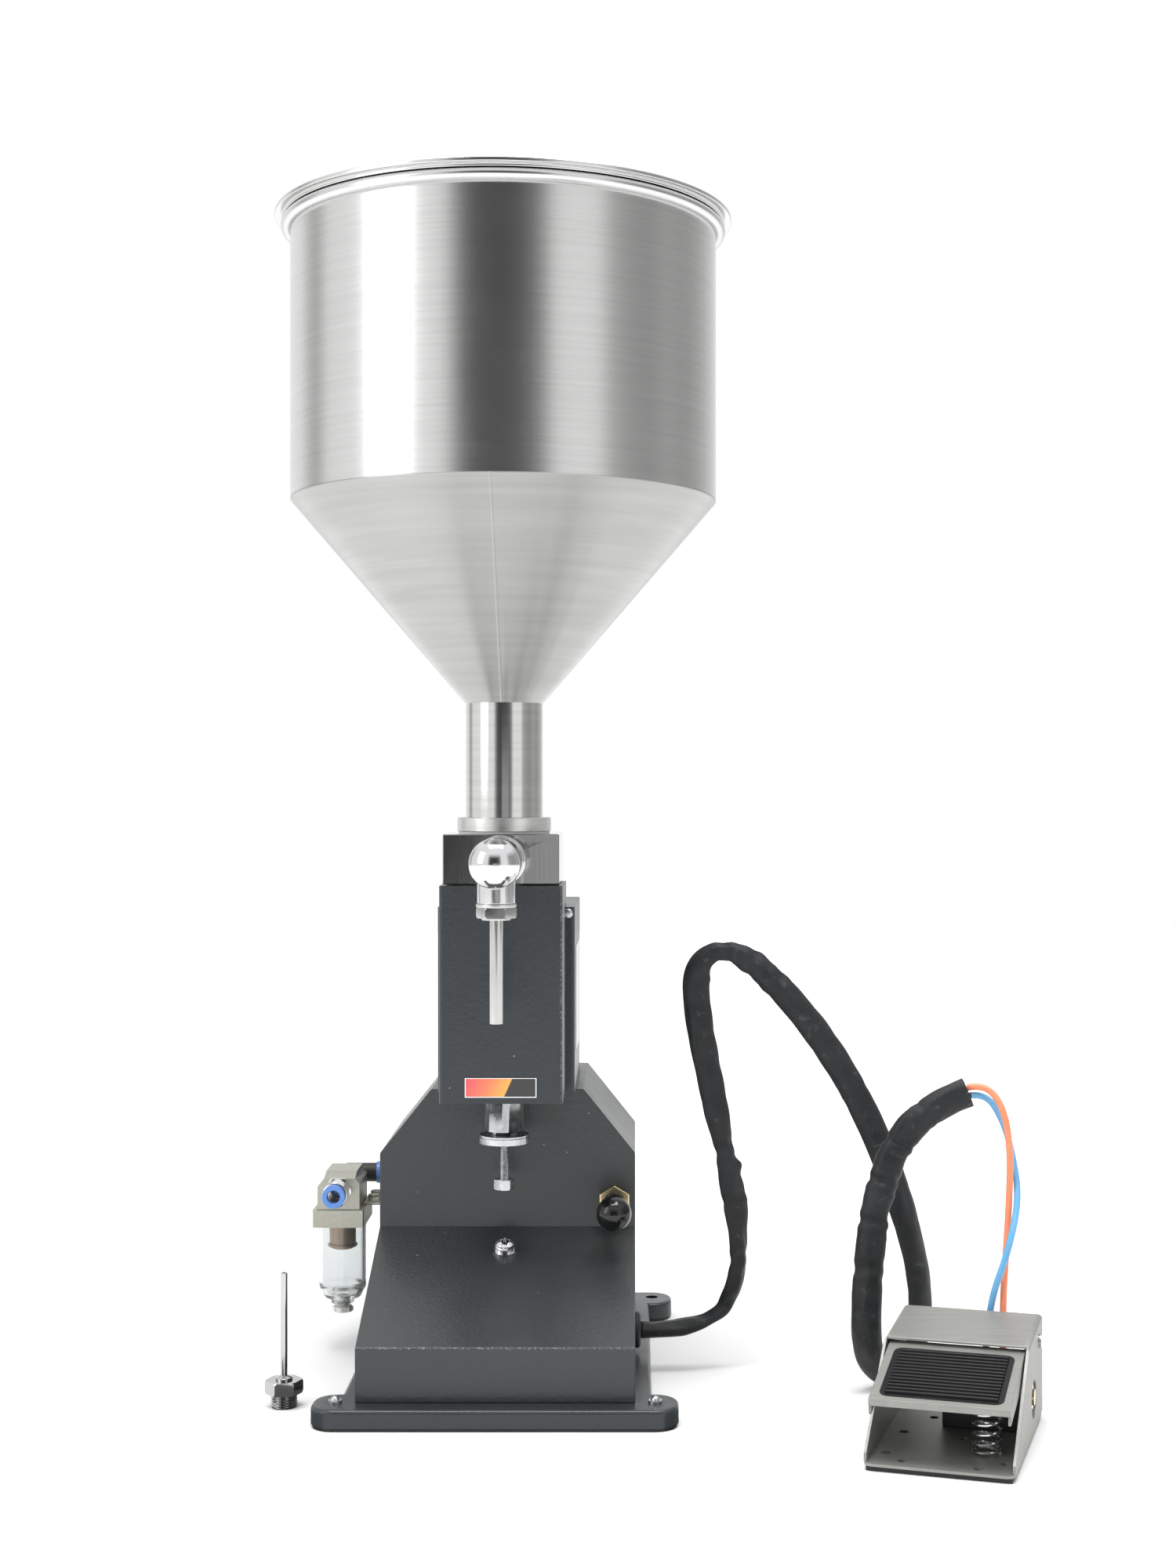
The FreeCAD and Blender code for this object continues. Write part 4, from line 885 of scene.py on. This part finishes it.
# %% Thread, knurl and spring helpers
def add_thread(bm, radius, bottom, top, pitch, depth, steps=40):
    part = bmesh.new()
    rows = int((top - bottom) / pitch) * 2
    chain(part, [(radius if row % 2 else radius - depth, bottom + row * pitch / 2) for row in range(rows + 1)])
    spin(part, part.verts[:] + part.edges[:], steps, climb=pitch * MM / steps, merge=False)
    bmesh.ops.remove_doubles(part, verts=part.verts, dist=2e-6)
    merge_in(bm, part)


def add_knurl(bm, radius, bottom, top, rows, depth, steps=132):
    part = bmesh.new()
    chain(part, [(radius, bottom + (top - bottom) * row / rows) for row in range(rows + 1)])
    spin(part, part.verts[:] + part.edges[:], steps)
    for vert in part.verts:
        row = round((vert.co.z / MM - bottom) / (top - bottom) * rows)
        column = round(atan2(vert.co.y, vert.co.x) / (2 * pi) * steps)
        if (row + column) % 2:
            vert.co.x *= 1 - depth / radius
            vert.co.y *= 1 - depth / radius
    merge_in(bm, part)


def add_spring(bm, mean_r, wire_r, length, turns, per_turn=28, around=10):
    """A coil from z = 0 up, whose first and last turns lie nearly flat."""
    part = bmesh.new()
    geometry = wire_section(part, mean_r, wire_r, wire_r, around)
    end_climb = 2.1 * wire_r
    middle_climb = length - 2 * wire_r - 2 * end_climb
    for share_of_turns, climb in ((1.0, end_climb), (turns - 2.0, middle_climb), (1.0, end_climb)):
        steps = round(share_of_turns * per_turn)
        geometry = spin(part, geometry, steps, climb * MM / steps, share_of_turns, merge=False)
    bmesh.ops.holes_fill(part, edges=[edge for edge in part.edges if edge.is_boundary], sides=around)
    merge_in(bm, part)


# %% Stroke adjustment under the casing
# the boss takes the darker zinc, with painted shade
refined("cylinder_foot", shaded_boss_zinc, 0.5, 3)
LOCK_WHEEL_PROFILE = [(3.15, 147.0), (14.7, 147.0), (15.0, 147.3), (15.0, 150.9), (14.6, 151.2), (14.6, 151.4),
                      (15.35, 151.7), (15.35, 152.4), (15.0, 152.7), (3.15, 152.7)]
assembled("lock_wheel", zinc, [(turn, LOCK_WHEEL_PROFILE), (add_knurl, 15.35, 147.35, 150.85, 6, 0.5)], HOPPER_AT,
          body="nut", replaces=("lock_nut",), smooth=25)
assembled("stroke_bolt", zinc, [(add_thread, 3.0, 123.2, 184.0, 1.0, 0.45),
                                (turn, [(0, 184.3), (2.2, 184.3), (2.8, 183.4), (2.8, 182.6), (0, 182.6)], 32),
                                (add_hex, 11.2, 118.5, 124.7, 0.9, radians(-23.1)),
                                (turn, ring(0, 4.9, 124.7, 124.9), 40)],
          HOPPER_AT, body="screw", replaces=("stroke_screw",), smooth=30)
print("stroke adjustment done")

# %% [markdown]
# ## Painted cabinet
# The cabinet, column and casing are folded from 1.5 mm sheet and sprayed. They keep the measured shape, and
# their folds get the soft edge that makes a bright line in a studio.

# %% Cabinet and covers
for node, material, radius, shortest in (
        ("floor_mats", rubber, 0.5, 6), ("base_box", lit_base_paint, 2.0, 15), ("rear_covers", paint, 0.4, 8),
        ("column_box", paint, 0.8, 15), ("front_casing", casing_paint, 1.2, 15), ("base_plate", paint, 0.0, 6),
        ("fasteners", zinc, 0.25, 3), ("tray_screw", chrome, 0.2, 3), ("valve_block", block_steel, 0.0, 6)):
    refined(node, material, radius, shortest)

# %% [markdown]
# ### Plates
# The casing carries a plain enamelled plate with a thin bright rim, half warm and half black with a slanted
# edge between. The rating plate on the column's side is blank.

# %% Plates
badge_finish = Finish("badge_enamel", Coat_Weight=0.6, Coat_Roughness=0.08, Roughness=0.25)
badge_axes = badge_finish.axes()
slant = badge_finish.maths("MULTIPLY_ADD", badge_axes["Z"], -0.45, badge_axes["X"])
badge_ramp = badge_finish.node("ValToRGB", {"Fac": badge_finish.spread(slant, -0.107, -0.063)})
stops = badge_ramp.color_ramp.elements
stops[0].position, stops[0].color = 0.0, (0.80, 0.05, 0.10, 1)
stops[1].position, stops[1].color = 0.62, (0.90, 0.42, 0.06, 1)
stops.new(0.35).color = (0.86, 0.20, 0.08, 1)
stops.new(0.64).color = (0.006, 0.006, 0.007, 1)
badge_finish.feed(badge_ramp.outputs["Color"], "Base Color")
badge_finish.relief(badge_finish.group(peel_group, Lumps_per_metre=600.0)["Height"], 0.00002)

block_piece("badge_rim", chrome, (-21.5, -76.6, 180), (21.5, -75.9, 192), 0.25, replaces=("name_plates",))
block_piece("badge", badge_finish.material, (-20.9, -77.0, 180.6), (20.9, -76.2, 191.4), 0.3, 3)
block_piece("rating_plate", plate_print, (42.75, 0, 199), (43.3, 64, 265), 0.15)
turned_piece("column_screw", [(0, 0), (3.2, 0), (3.2, 1.2), (2.0, 2.0), (0, 2.0)], zinc, (38.4, -21.0, 287), FORWARD,
             steps=40, soft=0.3)
print("cabinet done")

# %% [markdown]
# ## Hand valve
# A ball knob on a brass-nutted pull-push valve. The knob is gloss black plastic on a plain ferrule.

# %% Hand valve
VALVE_X, VALVE_Z = 67.4, 104.7
ball = arc(0, 0, 10.75, -68.0, 90.0, 30)
turned_piece("knob_ball", [(0, ball[0][1])] + ball, gloss_black, (VALVE_X, -46.5, VALVE_Z), FORWARD, steps=72,
             body="hand_valve", replaces=("hand_valve_knob",))
turned_piece("knob_ferrule", [(0, 0), (3.02, 0), (3.02, 22), (5.6, 22.0), (5.6, 30.5), (0, 30.5)], valve_black,
             (VALVE_X, -9.0, VALVE_Z), FORWARD, steps=48, soft=0.4, body="hand_valve")
refined("hand_valve_nut", brass, 0.7, 3)
assembled("valve_neck", brass, [(add_thread, 7.0, 0, 11, 1.0, 0.5),
                                (turn, ring(3.2, 6.6, 0, 11.6), 48, 0.4)],
          (VALVE_X, -7.4, VALVE_Z), FORWARD)
refined("hand_valve_body", valve_black, 0.4, 4)

# %% [markdown]
# ## Air filter
# A die-cast head with a clear bowl, a sintered element and a drain. The bowl is a shell with a real wall, so
# that it bends the light like moulded plastic.

# %% Air filter
FILTER_AT = (-109.5, 35, 0)
INLET = (-109.5, 14.0, 107.5)
HEAD_BORE_TOP = 0.0842  # the edges below this height belong to the bowl's socket and stay sharp


def add_drain_spokes(bm):
    for spoke in range(8):
        rib = bmesh.new()
        add_block(rib, (6.0, -0.7, 25.8), (6.9, 0.7, 28.4), 0.2)
        rotate(rib, rib.verts, spoke * pi / 4, "Z")
        merge_in(bm, rib)


refined("filter_head", cast, 0.9, 4, where=lambda e: (e.verts[0].co.z + e.verts[1].co.z) / 2 > HEAD_BORE_TOP)
refined("filter_bracket", cast, 0.4, 3)
BOWL_PROFILE = [(13.2, 83.6), (15.2, 83.6), (15.2, 42), (11.5, 35), (7.5, 33.4), (7.5, 31), (3.6, 31), (3.6, 36.5),
                (9.8, 37.6), (13.2, 44)]
turned_piece("bowl", BOWL_PROFILE, clear_plastic, FILTER_AT, steps=72, soft=1.0, segments=3, body="bowl",
             replaces=("filter_bowl",))
assembled("element", bronze, [(turn, ring(5.5, 8.5, 70, 85), 48, 0.5),
                              (turn, [(0, 66.5), (6.5, 66.5), (9.5, 68.3), (9.5, 69.6), (0, 69.6)], 48, 0.3)],
          FILTER_AT, body="bowl", replaces=("filter_element",))
DRAIN_PROFILE = [(0, 25.4), (6.4, 25.4), (6.4, 28.8), (3.4, 29.4), (3.4, 36), (0, 36)]
assembled("drain_wheel", ptfe, [(turn, DRAIN_PROFILE, 48, 0.4), (add_drain_spokes,)], FILTER_AT, body="drain",
          replaces=("filter_drain",), slot="white_ptfe")
assembled("inlet_collar", chrome, [(add_hex, 16, 0, 3.5, 0.9, pi / 2),
                                   (turn, ring(5.8, 8, 3.4, 17.6), 64, 0.5, 3)],
          INLET, FORWARD, replaces=("inlet_fitting",))
RELEASE_PROFILE = [(4.1, 18.0), (5.5, 14.0), (5.5, 19.6), (7.3, 19.6), (7.3, 23.0), (4.1, 23.0)]
turned_piece("release_collar", RELEASE_PROFILE, blue_plastic, INLET, FORWARD, steps=64, soft=0.45, segments=3,
             body="release_ring", replaces=("inlet_ring",))
refined("outlet_fitting", valve_black, 0.0, 4)
turned_piece("outlet_release", ring(4.1, 7.2, 0, 3.4), blue_plastic, (-90.8, 66, 110), (1, 0, 0),
             steps=56, soft=0.5)
turned_piece("hose_grommet", [(6.5, -3), (9, -3), (9, 0), (11, 0), (11, 2.2), (9.2, 3.4), (6.5, 3.4)], rubber,
             (80.5, -16, 26), (1, 0, 0), steps=64, soft=0.5, segments=3, replaces=("hose_gland",))
print("filter done")

# %% [markdown]
# ## Spare nozzle
# A finer tube soldered into a threaded plug, stood on its thread on the bench.

# %% Spare nozzle
def cut_at_bench(bm):
    """Take off what would stand below the bench."""
    bmesh.ops.bisect_plane(bm, geom=bm.verts[:] + bm.edges[:] + bm.faces[:], plane_co=(0, 0, 0.0001),
                           plane_no=(0, 0, 1), clear_inner=True)


assembled("small_nozzle", tube_steel, [
    (add_thread, 7.8, -1.2, 7.8, 1.5, 0.8, 48), (cut_at_bench,),
    (turn, [(1.2, 0.05), (6.4, 0.05), (7.1, 0.7), (7.1, 8), (1.2, 8)], 64, 0.15),
    (add_hex, 19.6, 8, 16, 1.4, radians(-20)),
    (turn, [(1.2, 15.9), (5.0, 15.9), (5.0, 17.2), (2.2, 18.4), (1.2, 18.4)], 48, 0.2),
    (turn, ring(1.2, 2, 17, 79), 40, 0.2)],
          (-127, -92, 0), body="spare", replaces=("spare_nozzle",), smooth=30)

# %% [markdown]
# ## Foot pedal
# One bent cover over a flat base, a hinged tread with a ribbed rubber pad, a return spring and a small valve.
# The pad and the spring are made in the pedal's own frame, x across and y to the rear, and then turned to
# where the pedal stands.

# %% Foot pedal
PEDAL_PLACE = Matrix.Translation(Vector((240.9, -223.9, 0)) * MM) @ Matrix.Rotation(radians(-17), 4, "Z")
TREAD_SLOPE = 0.235
PAD_AT = Vector((0, 7.0, 39.205))
PAD_HALF, PAD_LENGTH, PAD_THICK = 33.5, 54.5, 1.6
RIBS, RIB_LENGTH = 14, 61

for node, material, radius, shortest, body in (
        ("pedal_base", pedal_sheet, 0.0, 4, "frame"), ("pedal_cover", pedal_sheet, 0.45, 8, "frame"),
        ("pedal_tread", pedal_sheet, 0.35, 8, "tread"), ("foot_valve", valve_black, 0.6, 4, "frame"),
        ("valve_plunger", chrome, 0.0, 6, "plunger"), ("pivot_pin", chrome, 0.4, 2, "frame"),
        ("pedal_fittings", brass, 0.0, 4, "frame")):
    refined(node, material, radius, shortest, body)

bm = bmesh.new()
bm.faces.new([bm.verts.new((x * MM, y * MM, 0)) for x, y in (
    (-PAD_HALF, 0), (PAD_HALF, 0), (PAD_HALF, PAD_LENGTH), (-PAD_HALF, PAD_LENGTH))])
bevel(bm, list(bm.verts), 5, 6, "VERTICES")
bmesh.ops.inset_region(bm, faces=bm.faces[:], thickness=0.0012, depth=0)
push(bm, z=PAD_THICK)
top = max((f for f in bm.faces if f.normal.z > 0.5 or f.calc_center_median().z > 1.5 * MM), key=lambda f: f.calc_area())
shift(bm, top.verts[:], z=-1.2)
bevel(bm, [e for e in bm.edges if e.is_manifold and e.calc_face_angle() > radians(40)], 0.3, 2, clamp=True)
for row in range(RIBS):
    rib = bmesh.new()
    bmesh.ops.create_circle(rib, segments=16, radius=1.25 * MM, cap_ends=True)
    rotate(rib, rib.verts, pi / 2, "Y")
    push(rib, x=RIB_LENGTH)
    bevel(rib, [e for e in rib.edges if e.calc_face_angle() > radians(60)], 0.5, 2)
    shift(rib, rib.verts, -RIB_LENGTH / 2, 4.0 + row * 3.58, 0.55)
    merge_in(bm, rib)
place(bm, PEDAL_PLACE @ Matrix.Translation(PAD_AT * MM) @ Matrix.Rotation(atan2(TREAD_SLOPE, 1), 4, "X"))
keep(bm, "ribbed_pad", pad_rubber, body="tread", replaces=("tread_pad",))

bm = bmesh.new()
add_spring(bm, 7.1, 0.9, 37.4, 8)
place(bm, PEDAL_PLACE @ Matrix.Translation(Vector((21, 35, 4.4)) * MM))
return_spring = keep(bm, "return_spring", chrome, replaces=("pedal_spring",))
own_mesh(return_spring)
print("pedal done")

# %% [markdown]
# ## Works inside
# These are mostly out of sight, so the measured solids stay, apart from two springs, with the finishes of
# the real parts.

# %% Two valve springs
VALVE_SPRINGS = [
    ("inlet", (8.0, 0.7, 8.9, 4), (0, -40.0, 313.05), (0, 0, 1), (0, -40.0, 313.05), 0.58),
    ("outlet", (6.0, 0.6, 18.9, 6), (0, -79.05, DISCHARGE_Z), FORWARD, (0, -97.95, DISCHARGE_Z), 0.72)]
for name, coil_shape, at, axis, fixed_end, share in VALVE_SPRINGS:
    coil = assembled(name + "_coil", polished, [(add_spring, *coil_shape)], at, axis, replaces=(name + "_spring",))
    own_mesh(coil)

# %% Inner parts
INNER = {
    "poppet_guides": polished, "inlet_poppet": ptfe, "outlet_poppet": ptfe, "fill_cylinder": polished,
    "fill_piston": ptfe, "piston_seals": rubber, "piston_rod": chrome, "cylinder_tube": alloy, "cylinder_head": alloy,
    "stroke_stop": zinc, "main_air_valve": valve_black}
for node, material in INNER.items():
    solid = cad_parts[node]
    solid.data.materials.clear()
    solid.data.materials.append(material)
print("inner parts:", len(INNER))
